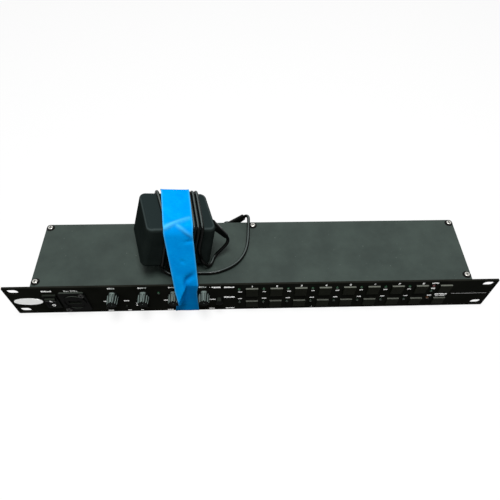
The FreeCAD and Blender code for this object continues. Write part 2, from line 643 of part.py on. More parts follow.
# ---------------------------------------------------------------- keys and buttons
def make_key(x, z, height):
    y_front = FRONT - KEY_PROUD
    cap = box(x - KEY_WIDTH / 2, x + KEY_WIDTH / 2, y_front, KEY_BACK, z - height / 2, z + height / 2)
    face = [e for e in cap.Edges if abs(e.CenterOfMass.y - y_front) < 0.01]
    cap = cap.makeFillet(KEY_EDGE, face)
    reach = KEY_WIDTH / 2 + KEY_LIP
    lip = box(x - reach, x + reach, KEY_BACK - KEY_LIP_THICKNESS, KEY_BACK,
              z - height / 2 - KEY_LIP, z + height / 2 + KEY_LIP)
    plunger = rod((x, KEY_BACK - PLUNGER_ROOT, z), (0, 1, 0), PLUNGER_DIAMETER,
                  SWITCH_BLOCK_Y + PLUNGER_ENTRY - KEY_BACK + PLUNGER_ROOT)
    return cap.fuse([lip, plunger]).removeSplitter()


def make_round_button(x, z, diameter, proud):
    y_front = FRONT - proud
    cap = rod((x, y_front, z), (0, 1, 0), diameter, KEY_BACK - y_front)
    rim = [e for e in cap.Edges if abs(e.CenterOfMass.y - y_front) < 0.01]
    cap = cap.makeFillet(BUTTON_EDGE, rim)
    lip = rod((x, KEY_BACK - KEY_LIP_THICKNESS, z), (0, 1, 0), diameter + 2 * BUTTON_LIP,
              KEY_LIP_THICKNESS)
    plunger = rod((x, KEY_BACK - PLUNGER_ROOT, z), (0, 1, 0), PLUNGER_DIAMETER,
                  SWITCH_BLOCK_Y + PLUNGER_ENTRY - KEY_BACK + PLUNGER_ROOT)
    return cap.fuse([lip, plunger]).removeSplitter()


def make_key_switches():
    places = [(x, z) for name, x, z, height in key_places()]
    places += [(x, z) for name, x, z, diameter, proud in ROUND_BUTTONS]
    blocks = []
    for x, z in places:
        block = box(x - SWITCH_BLOCK_WIDTH / 2, x + SWITCH_BLOCK_WIDTH / 2, SWITCH_BLOCK_Y,
                    FRONT_BOARD_Y, z - SWITCH_BLOCK_HEIGHT / 2, z + SWITCH_BLOCK_HEIGHT / 2)
        well = rod((x, SWITCH_BLOCK_Y - 1, z), (0, 1, 0), PLUNGER_DIAMETER + 2 * FIT,
                   1 + PLUNGER_ENTRY + KEY_TRAVEL + GAP)
        blocks.append(block.cut(well))
    return blocks


def make_led(x, z):
    """Round-nosed lamp whose two legs reach the front board."""
    radius = LED_DIAMETER / 2
    nose = FRONT - LED_PROUD + radius
    body = rod((x, nose, z), (0, 1, 0), LED_DIAMETER, FRONT + LED_BODY - nose)
    dome = Part.makeSphere(radius, V(x, nose, z))
    base = rod((x, FRONT + LED_BODY - 1, z), (0, 1, 0), LED_BASE, 1)
    legs = []
    for s in (-1, 1):
        cx = x + s * LED_LEG_SPACING / 2
        legs.append(box(cx - LED_LEG / 2, cx + LED_LEG / 2, FRONT + LED_BODY - 0.5, FRONT_BOARD_Y,
                        z - LED_LEG / 2, z + LED_LEG / 2))
    return body.fuse([dome, base] + legs).removeSplitter()


# ---------------------------------------------------------------- circuit boards
def make_front_board():
    board = box(FRONT_BOARD_LEFT, FRONT_BOARD_RIGHT, FRONT_BOARD_Y, FRONT_BOARD_Y + BOARD_THICKNESS,
                FRONT_BOARD_LOW, FRONT_BOARD_HIGH)
    holes = [rod((x, FRONT_BOARD_Y - 1, 0), (0, 1, 0), M3_CLEARANCE_HOLE, BOARD_THICKNESS + 2)
             for x in front_board_fixings()]
    return board.cut(holes)


def make_main_board():
    x0, x1, y0, y1 = MAIN_BOARD
    z0 = FLOOR + MAIN_BOARD_STANDOFF
    board = box(x0, x1, y0, y1, z0, z0 + BOARD_THICKNESS)
    top = z0 + BOARD_THICKNESS
    chips = [box(x - w / 2, x + w / 2, y - d / 2, y + d / 2, top - CHIP_SEAT, top + h)
             for x, y, w, d, h in CHIPS]
    holes = [rod((x, y, z0 - 1), (0, 0, 1), M3_CLEARANCE_HOLE, BOARD_THICKNESS + 2)
             for x, y in main_board_fixings()]
    return board.fuse(chips).removeSplitter().cut(holes)


def make_standoffs():
    posts = []
    for x in front_board_fixings():
        post = rod((x, SHEET, 0), (0, 1, 0), STANDOFF_DIAMETER, FRONT_BOARD_STANDOFF)
        posts.append(post.cut(rod((x, SHEET - 1, 0), (0, 1, 0), M3_CORE + 2 * FIT,
                                  FRONT_BOARD_STANDOFF + 2)))
    for x, y in main_board_fixings():
        post = rod((x, y, FLOOR), (0, 0, 1), STANDOFF_DIAMETER, MAIN_BOARD_STANDOFF)
        posts.append(post.cut(rod((x, y, FLOOR - 1), (0, 0, 1), M3_CORE + 2 * FIT,
                                  MAIN_BOARD_STANDOFF + 2)))
    return posts


# ---------------------------------------------------------------- power inlet and plug
def make_dc_jack():
    flange = rod((JACK_X, REAR, JACK_Z), (0, 1, 0), JACK_FLANGE, JACK_FLANGE_THICKNESS)
    mouth = REAR + JACK_FLANGE_THICKNESS
    barrel = rod((JACK_X, mouth - JACK_DEPTH, JACK_Z), (0, 1, 0), JACK_BARREL, JACK_DEPTH)
    inner_wall = REAR - SHEET
    collar = rod((JACK_X, inner_wall, JACK_Z), (0, -1, 0), JACK_COLLAR, JACK_COLLAR_THICKNESS)
    bore = rod((JACK_X, mouth + 1, JACK_Z), (0, -1, 0), JACK_BORE, JACK_BORE_DEPTH + 1)
    pin = rod((JACK_X, mouth - 1, JACK_Z), (0, -1, 0), JACK_PIN, JACK_BORE_DEPTH)
    return flange.fuse([barrel, collar]).removeSplitter().cut(bore).fuse(pin).removeSplitter()


def plug_arm_direction():
    tilt = math.radians(PLUG_ARM_TILT)
    return V(math.sin(tilt), 0, math.cos(tilt))


def plug_arm_start():
    return V(JACK_X, REAR + JACK_FLANGE_THICKNESS + PLUG_HEAD_LENGTH / 2, JACK_Z)


def make_dc_plug():
    mouth = REAR + JACK_FLANGE_THICKNESS
    head = rod((JACK_X, mouth, JACK_Z), (0, 1, 0), PLUG_HEAD_DIAMETER, PLUG_HEAD_LENGTH)
    rear_rim = [e for e in head.Edges if abs(e.CenterOfMass.y - mouth - PLUG_HEAD_LENGTH) < 0.01]
    head = head.makeFillet(PLUG_HEAD_EDGE, rear_rim)
    arm = Part.makeCone(PLUG_ARM_ROOT / 2, PLUG_ARM_TIP / 2, PLUG_ARM_LENGTH,
                        plug_arm_start(), plug_arm_direction())
    barrel = rod((JACK_X, mouth, JACK_Z), (0, -1, 0), PLUG_BARREL, PLUG_BARREL_LENGTH)
    pin_bore = rod((JACK_X, mouth + 1, JACK_Z), (0, -1, 0), PLUG_BARREL_BORE, PLUG_BARREL_LENGTH + 2)
    return head.fuse([arm, barrel]).removeSplitter().cut(pin_bore)


# ---------------------------------------------------------------- mains adapter
def adapter_placement():
    """The adapter leans on its prongs and on the outermost turn of its own lead."""
    lean = math.radians(ADAPTER_LEAN)
    lift = SLIP + WIND_RIGHT * math.sin(lean) + WIND_THICKNESS * math.cos(lean)
    turn = FreeCAD.Rotation(V(0, 0, 1), ADAPTER_YAW) * FreeCAD.Rotation(V(0, 1, 0), ADAPTER_LEAN)
    return FreeCAD.Placement(V(ADAPTER_X, ADAPTER_Y, COVER_TOP + lift), turn)


def place(shape):
    shape.Placement = adapter_placement() * shape.Placement
    return shape


def frustum(length, width, c0, c1, taper_a, taper_b):
    """Four-sided block along c whose ends and sides draw in by the tapers over its height."""
    outlines = []
    for c, inset_a, inset_b in ((c0, 0, 0), (c1, taper_a, taper_b)):
        half_a, half_b = length / 2 - inset_a, width / 2 - inset_b
        corners = [V(-half_a, -half_b, c), V(half_a, -half_b, c),
                   V(half_a, half_b, c), V(-half_a, half_b, c)]
        outlines.append(Part.makePolygon(corners + corners[:1]))
    return Part.makeLoft(outlines, True, True)


def edges_at_height(solid, c):
    return [e for e in solid.Edges
            if abs(e.BoundBox.ZMin - c) < 0.01 and abs(e.BoundBox.ZMax - c) < 0.01]


def adapter_outer():
    body = frustum(ADAPTER_LENGTH, ADAPTER_WIDTH, 0, ADAPTER_HEIGHT,
                   ADAPTER_TAPER_LENGTH, ADAPTER_TAPER_WIDTH)
    uprights = [e for e in body.Edges if e.BoundBox.ZMax - e.BoundBox.ZMin > ADAPTER_HEIGHT / 2]
    body = body.makeFillet(ADAPTER_CORNER, uprights)
    body = body.makeFillet(ADAPTER_TOP_EDGE, edges_at_height(body, ADAPTER_HEIGHT))
    return body.makeFillet(ADAPTER_BASE_EDGE, edges_at_height(body, 0))


def adapter_shells():
    """Hollow outer body, split into the housing and the prong-side base."""
    share = (ADAPTER_HEIGHT - 2 * ADAPTER_WALL) / ADAPTER_HEIGHT
    inner = frustum(ADAPTER_LENGTH - 2 * ADAPTER_WALL, ADAPTER_WIDTH - 2 * ADAPTER_WALL,
                    ADAPTER_WALL, ADAPTER_HEIGHT - ADAPTER_WALL,
                    ADAPTER_TAPER_LENGTH * share, ADAPTER_TAPER_WIDTH * share)
    uprights = [e for e in inner.Edges if e.BoundBox.ZMax - e.BoundBox.ZMin > ADAPTER_HEIGHT / 2]
    inner = inner.makeFillet(ADAPTER_CORNER - ADAPTER_WALL, uprights)
    hollow = adapter_outer().cut(inner)
    reach = ADAPTER_LENGTH
    lower = box(-reach, reach, -reach, reach, -1, ADAPTER_SPLIT)
    return hollow.cut(lower), hollow.common(lower)


def relief_axis():
    return V(ADAPTER_LENGTH / 2 - RELIEF_INSIDE, *RELIEF_SEAT), V(*RELIEF_RUN)


def relief_cone(extra):
    start, run = relief_axis()
    return Part.makeCone(RELIEF_ROOT_DIAMETER / 2 + extra, RELIEF_TIP_DIAMETER / 2 + extra,
                         run.Length, start, run)


def prong_a():
    """Place along the adapter at which straight prongs just reach the cover."""
    lean = math.radians(ADAPTER_LEAN)
    lift = adapter_placement().Base.z - COVER_TOP
    return (lift - PRONG_LENGTH * math.cos(lean)) / math.sin(lean) - PRONG_WIDTH / 2


def prong_boxes(extra):
    blades = []
    for s in (-1, 1):
        b = s * PRONG_SPACING / 2
        blades.append(box(prong_a() - PRONG_WIDTH / 2 - extra, prong_a() + PRONG_WIDTH / 2 + extra,
                          b - PRONG_THICKNESS / 2 - extra, b + PRONG_THICKNESS / 2 + extra,
                          -PRONG_LENGTH, PRONG_ROOT))
    return blades


def make_transformer():
    """Laminated core and the coil through it, sized to the room inside the housing."""
    room = (ADAPTER_LENGTH - 2 * ADAPTER_WALL,
            ADAPTER_WIDTH - 2 * (ADAPTER_WALL + ADAPTER_TAPER_WIDTH),
            ADAPTER_HEIGHT - 2 * ADAPTER_WALL)
    core_a, core_b, core_c = [share * length for share, length in zip(CORE_SHARES, room)]
    coil_a, coil_b, coil_c = [share * length for share, length in zip(COIL_SHARES, room)]
    shift = room[0] / 2 - CORE_END_MARGIN - core_a / 2
    core = box(shift - core_a / 2, shift + core_a / 2, -core_b / 2, core_b / 2,
               ADAPTER_WALL, ADAPTER_WALL + core_c)
    middle = ADAPTER_WALL + core_c / 2
    coil = box(shift - coil_a / 2, shift + coil_a / 2, -coil_b / 2, coil_b / 2,
               middle - coil_c / 2, middle + coil_c / 2)
    return core.fuse(coil).removeSplitter()


def make_winding():
    """Outer shape of the lead wound round the adapter, one turn deep."""
    span = 4 * ADAPTER_LENGTH
    rise = ADAPTER_HEIGHT + 2 * WIND_THICKNESS
    flare = ADAPTER_TAPER_WIDTH / ADAPTER_HEIGHT * WIND_THICKNESS
    band = frustum(span, ADAPTER_WIDTH + 2 * WIND_THICKNESS + 2 * flare, -WIND_THICKNESS,
                   ADAPTER_HEIGHT + WIND_THICKNESS, 0, ADAPTER_TAPER_WIDTH * rise / ADAPTER_HEIGHT)
    long_edges = [e for e in band.Edges if e.BoundBox.XMax - e.BoundBox.XMin > span / 2]
    band = band.makeFillet(WIND_CORNER, long_edges)
    band = band.common(box(WIND_LEFT, WIND_RIGHT, -span, span, -span, span))
    return band.cut(adapter_outer())


# ---------------------------------------------------------------- lead
# From the winding's underside, forward under the tape, right across the cover and back to the plug.
LEAD_ROUTE = [(-93.6, 29.2, 32.0), (-92.2, 20.8, 28.8), (-88.8, 14.4, 25.2), (-82.4, 10.9, 23.0),
              (-74.8, 10.0, 22.4), (-66.9, 10.5, 22.4), (-59.2, 11.8, 22.4), (-51.6, 12.4, 22.4),
              (-44.0, 12.1, 22.4), (-36.4, 13.3, 22.4), (-28.9, 16.2, 22.4), (-21.6, 20.4, 22.4),
              (-15.3, 26.3, 22.4), (-10.6, 33.6, 22.4), (-7.6, 41.7, 22.4), (-6.0, 50.1, 22.4),
              (-5.3, 58.3, 22.4), (-5.0, 65.6, 22.8), (-4.6, 72.6, 24.1), (-4.4, 78.8, 25.5),
              (-4.6, 83.3, 25.8), (-7.05, 86.0, 24.75), (-9.88, 86.0, 22.386)]
# From the strain relief's tip down to the cover, round the adapter's front corner to the winding.
TAIL_ROUTE = [(-27.4, 42.9, 41.6), (-25.6, 43.1, 38.6), (-25.8, 41.5, 34.0), (-29.2, 38.8, 30.8),
              (-33.7, 36.2, 27.7), (-37.6, 33.9, 24.8), (-40.2, 30.5, 23.2), (-41.5, 26.2, 22.7),
              (-43.2, 21.4, 23.5), (-46.5, 18.2, 26.2), (-49.6, 18.3, 31.6), (-51.3, 19.7, 36.1)]


BEND_SHARE = 0.45              # of the shorter run beside it that each bend takes


def rounded_path(points):
    """Straight runs joined by tangent arcs as large as their runs allow."""
    pts = [V(*p) for p in points]
    edges, radii = [], []
    cursor = pts[0]
    for k in range(1, len(pts) - 1):
        before, after = pts[k - 1] - pts[k], pts[k + 1] - pts[k]
        shorter = min(before.Length, after.Length)
        before.normalize()
        after.normalize()
        turn = math.pi - before.getAngle(after)
        cut = BEND_SHARE * shorter
        radius = cut / math.tan(turn / 2)
        start, end = pts[k] + before * cut, pts[k] + after * cut
        middle = before + after
        middle.normalize()
        apex = pts[k] + middle * (radius / math.cos(turn / 2) - radius)
        edges.append(Part.LineSegment(cursor, start).toShape())
        edges.append(Part.Arc(start, apex, end).toShape())
        radii.append(radius)
        cursor = end
    edges.append(Part.LineSegment(cursor, pts[-1]).toShape())
    return Part.Wire(edges), radii


def make_tube(points, label):
    path, radii = rounded_path(points)
    start, heading = V(*points[0]), V(*points[1]) - V(*points[0])
    circle = Part.Wire([Part.makeCircle(LEAD_DIAMETER / 2, start, heading)])
    tube = path.makePipeShell([circle], True, False)
    section = math.pi * LEAD_DIAMETER ** 2 / 4
    print("%s: length %.1f, volume / (section x length) %.4f" %
          (label, path.Length, tube.Volume / (section * path.Length)))
    print("  bend radii " + " ".join("%.1f" % r for r in radii))
    return tube


# ---------------------------------------------------------------- strapping tape
def adapter_point(a, b, c):
    return adapter_placement().multVec(V(a, b, c))


def straight_row(left, right):
    """Four points in line: the edges and the two lines of the long fold."""
    return [left] + [left + (right - left) * share for share in TAPE_FOLD_SHARES] + [right]


def tape_stations():
    """Rows of four points across the tape's inner face, all the way round.

    Each row comes with the outward direction in which the thickness lies. In front, the left edge
    runs straight on to the knob's nose and the right part bends over the panel, with a fold between.
    """
    top = ADAPTER_HEIGHT + WIND_THICKNESS + TAPE_CLEAR
    half = ADAPTER_WIDTH / 2 - ADAPTER_TAPER_WIDTH + WIND_THICKNESS + TAPE_CLEAR
    bevel = WIND_CORNER * (1 - math.tan(math.radians(22.5)))
    turn = adapter_placement().Rotation
    rows = []
    courses = ((half, top - bevel, V(0, 1, 0.4)), (half - bevel, top, V(0, 0.4, 1)),
               (-half + bevel, top, V(0, -0.4, 1)), (-half, top - bevel, V(0, -1, 0.4)))
    for (b, c, normal), (left, right) in zip(courses, TAPE_ADAPTER_SPANS):
        rows.append((straight_row(adapter_point(left, b, c), adapter_point(right, b, c)),
                     turn.multVec(normal)))
    face = FRONT - TAPE_CLEAR
    nose = FRONT - GAP - KNOB_LENGTH - GAP
    ridge = KNOB_X[2] + KNOB_DIAMETER / 2 + TAPE_RIDGE_ROOM
    high, low = PANEL_HIGH + TAPE_CLEAR, PANEL_LOW - TAPE_CLEAR
    rear, rear_low = REAR + TAPE_CLEAR, BODY_LOW - TAPE_CLEAR
    rear_high = COVER_TOP + TAPE_CLEAR
    edge = [V(x, face - off, high) for x, off in TAPE_PANEL_TOP]
    leave = rows[-1][0]
    ends = [leave[i] + (edge[i] - leave[i]) * TAPE_FOLD_START for i in (0, -1)]
    rows.append((straight_row(*ends), V(0, -1, 0.4)))
    rows.append((edge, V(0, -1, 0.6)))
    nose_radius = KNOB_NOSE_DIAMETER / 2
    for pair, z, lean in ((TAPE_NOSE_TOP, KNOB_Z + 0.8 * nose_radius, 0.3),
                          (TAPE_NOSE_FOOT, KNOB_Z - 0.5 * nose_radius, -0.3)):
        rows.append(([V(ridge - TAPE_HOOK_WIDTH, nose, z), V(ridge, nose, z)]
                     + [V(x, face, z) for x in pair], V(0, -1, lean)))
    rows.append(([V(x, face, KNOB_Z - TAPE_LANDING_DROP) for x in TAPE_LANDING], V(0, -1, 0)))
    rows.append(([V(x, face, low) for x in TAPE_PANEL_FOOT], V(0, -1, -1)))
    for (left, right), z, lean in ((TAPE_REAR_FOOT, rear_low, -1), (TAPE_REAR_TOP, rear_high, 0.2)):
        rows.append((straight_row(V(left, rear, z), V(right, rear, z)), V(0, 1, lean)))
    return rows


def triangles(a, b, c, d):
    """Two flat faces over the four corners, split from a to c."""
    return [Part.Face(Part.makePolygon([a, b, c, a])), Part.Face(Part.makePolygon([a, c, d, a]))]


def make_tape():
    inner, outer = [], []
    for across, outward in tape_stations():
        step = V(outward)
        step.normalize()
        inner.append(across)
        outer.append([p + step * TAPE_THICKNESS for p in across])
    faces = []
    for k in range(len(inner)):
        n = (k + 1) % len(inner)
        for i in range(len(inner[k]) - 1):
            faces += triangles(inner[k][i], inner[k][i + 1], inner[n][i + 1], inner[n][i])
            faces += triangles(outer[k][i], outer[k][i + 1], outer[n][i + 1], outer[n][i])
        for edge in (0, -1):
            faces += triangles(inner[k][edge], outer[k][edge], outer[n][edge], inner[n][edge])
    skin = Part.makeCompound(faces)
    skin.sewShape()
    solid = Part.Solid(skin.Shells[0])
    if solid.Volume < 0:
        solid.reverse()
    return solid


# ---------------------------------------------------------------- build
def main():
    os.makedirs("parts", exist_ok=True)
    save("chassis_tray", make_tray())
    save("top_cover", make_cover())
    save("pan_head_screws", make_cover_and_board_screws())
    save("front_panel", make_panel())
    save("panel_nuts", make_panel_nuts())
    save("oval_badge", make_badge())
    save("switch_housing", make_switch_housing())
    save("power_rocker", make_rocker())
    save("lamp_socket", make_lamp_socket())
    save("lamp_socket_insert", make_lamp_insert())
    save("data_socket", make_data_socket())
    save("socket_screws", make_socket_screws())
    for n, x in enumerate(KNOB_X, 1):
        save("knob_%d" % n, make_knob(x))
        save("pot_shaft_%d" % n, make_pot_shaft(x))
    save("pot_bodies", make_pot_bodies())
    for name, x, z, height in key_places():
        save(name, make_key(x, z, height))
    for name, x, z, diameter, proud in ROUND_BUTTONS:
        save(name, make_round_button(x, z, diameter, proud))
    save("key_switches", make_key_switches())
    save("green_leds", [make_led(x, z) for x, z in green_led_places()])
    save("status_leds", [make_led(x, z) for x, z in (RED_LED, AMBER_LED)])
    save("front_board", make_front_board())
    save("main_board", make_main_board())
    save("board_standoffs", make_standoffs())
    save("dc_jack", make_dc_jack())
    save("dc_plug", make_dc_plug())

    housing, base = adapter_shells()
    relief = relief_cone(0)
    housing = housing.cut(relief_cone(SLIP))
    base = base.cut(prong_boxes(0))
    save("adapter_housing", place(housing))
    save("adapter_base", place(base))
    save("adapter_prongs", [place(blade) for blade in prong_boxes(0)])
    save("adapter_transformer", place(make_transformer()))
    save("lead_relief", place(relief))
    winding = place(make_winding())
    save("lead_winding", winding)
    save("dc_lead", make_tube(LEAD_ROUTE, "dc_lead").cut(winding))
    save("lead_tail", make_tube(TAIL_ROUTE, "lead_tail").cut(winding))
    save("strapping_tape", make_tape())


main()
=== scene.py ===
# %% [markdown]
# # A rack-mount lighting controller with its adapter strapped on top
#
# The real object is a one-unit steel case with a black control panel. Its mains adapter is wound in its own
# lead and held on the cover by a band of blue crepe tape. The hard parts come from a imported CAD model, so this
# lesson is about what CAD leaves plain: the lead, the tape, the print on the panel and every surface finish.

import math
import random

import bmesh
import bpy
from mathutils import Matrix, Vector, noise


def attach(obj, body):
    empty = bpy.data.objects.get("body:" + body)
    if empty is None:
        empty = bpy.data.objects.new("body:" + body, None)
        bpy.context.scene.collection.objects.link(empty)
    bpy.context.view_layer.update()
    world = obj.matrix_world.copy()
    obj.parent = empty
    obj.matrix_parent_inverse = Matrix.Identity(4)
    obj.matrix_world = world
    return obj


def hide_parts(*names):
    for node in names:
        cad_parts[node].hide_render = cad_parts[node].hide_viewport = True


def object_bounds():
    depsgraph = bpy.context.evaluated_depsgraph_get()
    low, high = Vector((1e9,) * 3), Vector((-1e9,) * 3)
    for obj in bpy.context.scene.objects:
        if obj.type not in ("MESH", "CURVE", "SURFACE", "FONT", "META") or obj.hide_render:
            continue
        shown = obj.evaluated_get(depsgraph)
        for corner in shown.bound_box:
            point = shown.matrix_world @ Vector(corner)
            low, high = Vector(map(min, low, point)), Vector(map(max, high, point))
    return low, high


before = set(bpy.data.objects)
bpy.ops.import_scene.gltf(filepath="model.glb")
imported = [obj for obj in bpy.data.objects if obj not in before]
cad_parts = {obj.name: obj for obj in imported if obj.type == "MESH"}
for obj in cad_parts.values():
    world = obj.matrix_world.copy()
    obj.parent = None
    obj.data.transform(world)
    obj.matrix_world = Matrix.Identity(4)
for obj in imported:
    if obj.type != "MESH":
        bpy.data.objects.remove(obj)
cad_low, cad_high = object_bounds()
MM = 0.001
print("CAD box, mm:", [round(1000 * v, 1) for v in (*cad_low, *cad_high)])

# %% [markdown]
# ## Camera
# The camera looks down steeply at the panel from the front, close enough that the panel's top edge and the cover
# show together. It is turned by three plain angles, and the lens shift keeps the case low in the frame.

# %% Camera
CAMERA_PLACE = Vector((-11.442, -250.982, 376.814)) * MM
YAW, PITCH, ROLL = -3.718, 56.929, -2.048

camera_data = bpy.data.cameras.new("camera")
camera_data.sensor_width = 36
camera_data.lens = 32.326
camera_data.shift_x = -0.01856
camera_data.shift_y = 0.10077
camera_data.clip_start, camera_data.clip_end = 0.01, 20
camera = bpy.data.objects.new("camera", camera_data)
bpy.context.scene.collection.objects.link(camera)
camera.matrix_world = (Matrix.Translation(CAMERA_PLACE)
                       @ Matrix.Rotation(math.radians(YAW), 4, "Z")
                       @ Matrix.Rotation(math.radians(-PITCH), 4, "X")
                       @ Matrix.Rotation(math.radians(ROLL), 4, "Y")
                       @ Matrix.Rotation(math.radians(90), 4, "X"))
bpy.context.scene.camera = camera

# %% [markdown]
# ## The adapter's own frame
# The adapter leans on its prongs, so nothing on it lines up with the case. Points on it are easier to think of as
# a along its length, b across and c up from the prong face, and one matrix takes them into the model.

# %% Adapter frame
ADAPTER_WIDTH, ADAPTER_HEIGHT = 52.9, 48.3
ADAPTER_DRAFT = 2.04            # how far each side draws in from the prong face to the top
ADAPTER_ORIGIN = Vector((-81.9, 40.4, 30.361))
ADAPTER_YAW, ADAPTER_LEAN = 14.8, 15.4
ADAPTER_TURN = (Matrix.Rotation(math.radians(ADAPTER_YAW), 3, "Z")
                @ Matrix.Rotation(math.radians(ADAPTER_LEAN), 3, "Y"))


def on_adapter(a, b, c):
    """A point of the adapter's frame, in the model's millimetres."""
    return ADAPTER_ORIGIN + ADAPTER_TURN @ Vector((a, b, c))


def adapter_side(c):
    """Half the adapter's width at height c; its sides draw in towards the top."""
    return ADAPTER_WIDTH / 2 - ADAPTER_DRAFT * c / ADAPTER_HEIGHT


# %% [markdown]
# ## The lead
# The lead is one flexible length: out of the strain relief, down to the cover, six loose turns round the adapter
# and then a free run to the plug at the back. It is made as a single smooth NURBS curve with a round bevel. The
# turns come from a loop with twelve points each, two at every corner so that the bend stays wide and even. The
# bevel is one metre and every point's radius scales it down, which keeps the curve's bounding box tight.

# %% Lead
LEAD_DIAMETER = 3.3
TAIL_ROUTE = [(-27.4, 42.9, 41.6), (-25.6, 43.1, 38.6), (-25.8, 41.5, 34.0), (-29.2, 38.8, 30.8),
              (-33.7, 36.2, 27.7), (-37.6, 33.9, 24.8), (-40.2, 30.5, 23.2), (-41.5, 26.2, 22.7),
              (-43.2, 21.4, 23.5), (-46.5, 18.2, 26.2), (-49.6, 18.3, 31.6), (-51.3, 19.7, 36.1)]
LEAD_ROUTE = [(-93.6, 29.2, 32.0), (-92.2, 20.8, 28.8), (-88.8, 14.4, 25.2), (-82.4, 10.9, 23.0),
              (-74.8, 10.0, 22.4), (-66.9, 10.5, 22.4), (-59.2, 11.8, 22.4), (-51.6, 12.4, 22.4),
              (-44.0, 12.1, 22.4), (-36.4, 13.3, 22.4), (-28.9, 16.2, 22.4), (-21.6, 20.4, 22.4),
              (-15.3, 26.3, 22.4), (-10.6, 33.6, 22.4), (-7.6, 41.7, 22.4), (-6.0, 50.1, 22.4),
              (-5.3, 58.3, 22.4), (-5.0, 65.6, 22.8), (-4.6, 72.6, 24.1), (-4.4, 78.8, 25.5),
              (-4.6, 83.3, 25.8), (-7.05, 86.0, 24.75), (-9.88, 86.0, 22.386)]
TURN_OFFSET = 1.95          # middle of the lead off the adapter's faces
CORNER_CUT = 3.87           # from a sharp corner to each of the two points that round it
# where each turn crosses the adapter's front and back, along its length
FRONT_PLACES = (17.4, 13.7, 10.0, 1.0, -8.0, -14.6)
BACK_PLACES = (21.9, 18.2, 14.5, 5.0, -7.6, -15.1)

foot, crown = -TURN_OFFSET, ADAPTER_HEIGHT + TURN_OFFSET
low_side, high_side = adapter_side(0) + TURN_OFFSET, adapter_side(ADAPTER_HEIGHT) + TURN_OFFSET
middle = (low_side + high_side) / 2
loops = []
for front, back, following in zip(FRONT_PLACES, BACK_PLACES, FRONT_PLACES[1:] + FRONT_PLACES[-1:]):
    loops += [(front, -low_side, foot + CORNER_CUT),
              (front, -middle, ADAPTER_HEIGHT / 2),
              (front, -high_side, crown - CORNER_CUT),
              (front, -high_side + CORNER_CUT, crown),
              ((front + back) / 2, 0, crown),
              (back, high_side - CORNER_CUT, crown),
              (back, high_side, crown - CORNER_CUT),
              (back, middle, ADAPTER_HEIGHT / 2),
              (back, low_side, foot + CORNER_CUT),
              (back, low_side - CORNER_CUT, foot),
              ((back + following) / 2, 0, foot),
              (following, -low_side + CORNER_CUT, foot)]
turns = [on_adapter(*p) for p in loops[1:-2]]
route = [Vector(p) for p in TAIL_ROUTE] + turns + [Vector(p) for p in LEAD_ROUTE]

lead_curve = bpy.data.curves.new("wound_lead", "CURVE")
lead_curve.dimensions = "3D"
lead_curve.bevel_depth = 1
lead_curve.bevel_resolution = 5
lead_curve.resolution_u = 6
spline = lead_curve.splines.new("NURBS")
spline.points.add(len(route) - 1)
for point, place in zip(spline.points, route):
    point.co = (*(place * MM), 1)
    point.radius = LEAD_DIAMETER / 2 * MM
spline.order_u = 3
spline.use_endpoint_u = True
lead = bpy.data.objects.new("wound_lead", lead_curve)
bpy.context.scene.collection.objects.link(lead)


def curve_line(obj):
    """The points a curve runs through, without its bevel."""
    bare = obj.copy()
    bare.data = obj.data.copy()
    bare.data.bevel_depth = 0
    bpy.context.scene.collection.objects.link(bare)
    bpy.context.view_layer.update()
    line = bpy.data.meshes.new_from_object(bare.evaluated_get(bpy.context.evaluated_depsgraph_get()))
    places = [v.co.copy() for v in line.vertices]
    bpy.data.curves.remove(bare.data)
    bpy.data.meshes.remove(line)
    return places


lead_line = curve_line(lead)
lead_length = sum((b - a).length for a, b in zip(lead_line, lead_line[1:]))
print("lead is %.3f m long" % lead_length)
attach(lead, "chassis")
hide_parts("dc_lead", "lead_tail", "lead_winding")

# %% [markdown]
# ## The blue tape
# The tape is a taut band round the adapter and the case. Between its supports it runs straight, and it turns over
# each edge in a small arc. Where it passes a round knob it stands off the panel in a tent. The band is built row
# by row along its length, then its creases are pressed in as soft ridges, because a cloth simulation would never
# fold crepe paper in just these places. Its two ends overlap on the rear of the case.

# %% Tape supports
TAPE_CLEARANCE = 0.12
TAPE_OFF_ADAPTER = TURN_OFFSET + LEAD_DIAMETER / 2 + TAPE_CLEARANCE
TAPE_CROWN = ADAPTER_HEIGHT + TAPE_OFF_ADAPTER
TAPE_SIDE = adapter_side(ADAPTER_HEIGHT) + TAPE_OFF_ADAPTER
TAPE_BEVEL = 4.69               # how far the tape cuts off each upper corner of the winding
# rows over the adapter: place across it, height, then the tape's left and right edges along it
ADAPTER_ROWS = [(TAPE_SIDE, TAPE_CROWN - TAPE_BEVEL, -11.2, 15.2),
                (TAPE_SIDE - TAPE_BEVEL, TAPE_CROWN, -12.0, 14.6),
                (-TAPE_SIDE + TAPE_BEVEL, TAPE_CROWN, -18.6, 8.2),
                (-TAPE_SIDE, TAPE_CROWN - TAPE_BEVEL, -18.6, 7.6)]
FOLD_SHARES = (0.34, 0.56)      # where the long fold's ridge and valley cross the straight rows
FOLD_START = 0.72               # share of the free run to the panel that is still flat
# planes that the tape lies in, each a little off the solid behind it
PANEL_FACE, KNOB_NOSE, CASE_REAR = -2.12, -13.6, 80.12
PANEL_HIGH, PANEL_LOW, CASE_HIGH, CASE_LOW = 22.12, -22.12, 20.67, -21.62


def straight_row(left, right):
    """A row whose fold points lie on the straight line between its two edges."""
    return [left] + [left.lerp(right, share) for share in FOLD_SHARES] + [right]


def face_row(z, *places):
    """A row of points in front of the panel, each given as x and its y."""
    return [Vector((x, y, z)) for x, y in places]


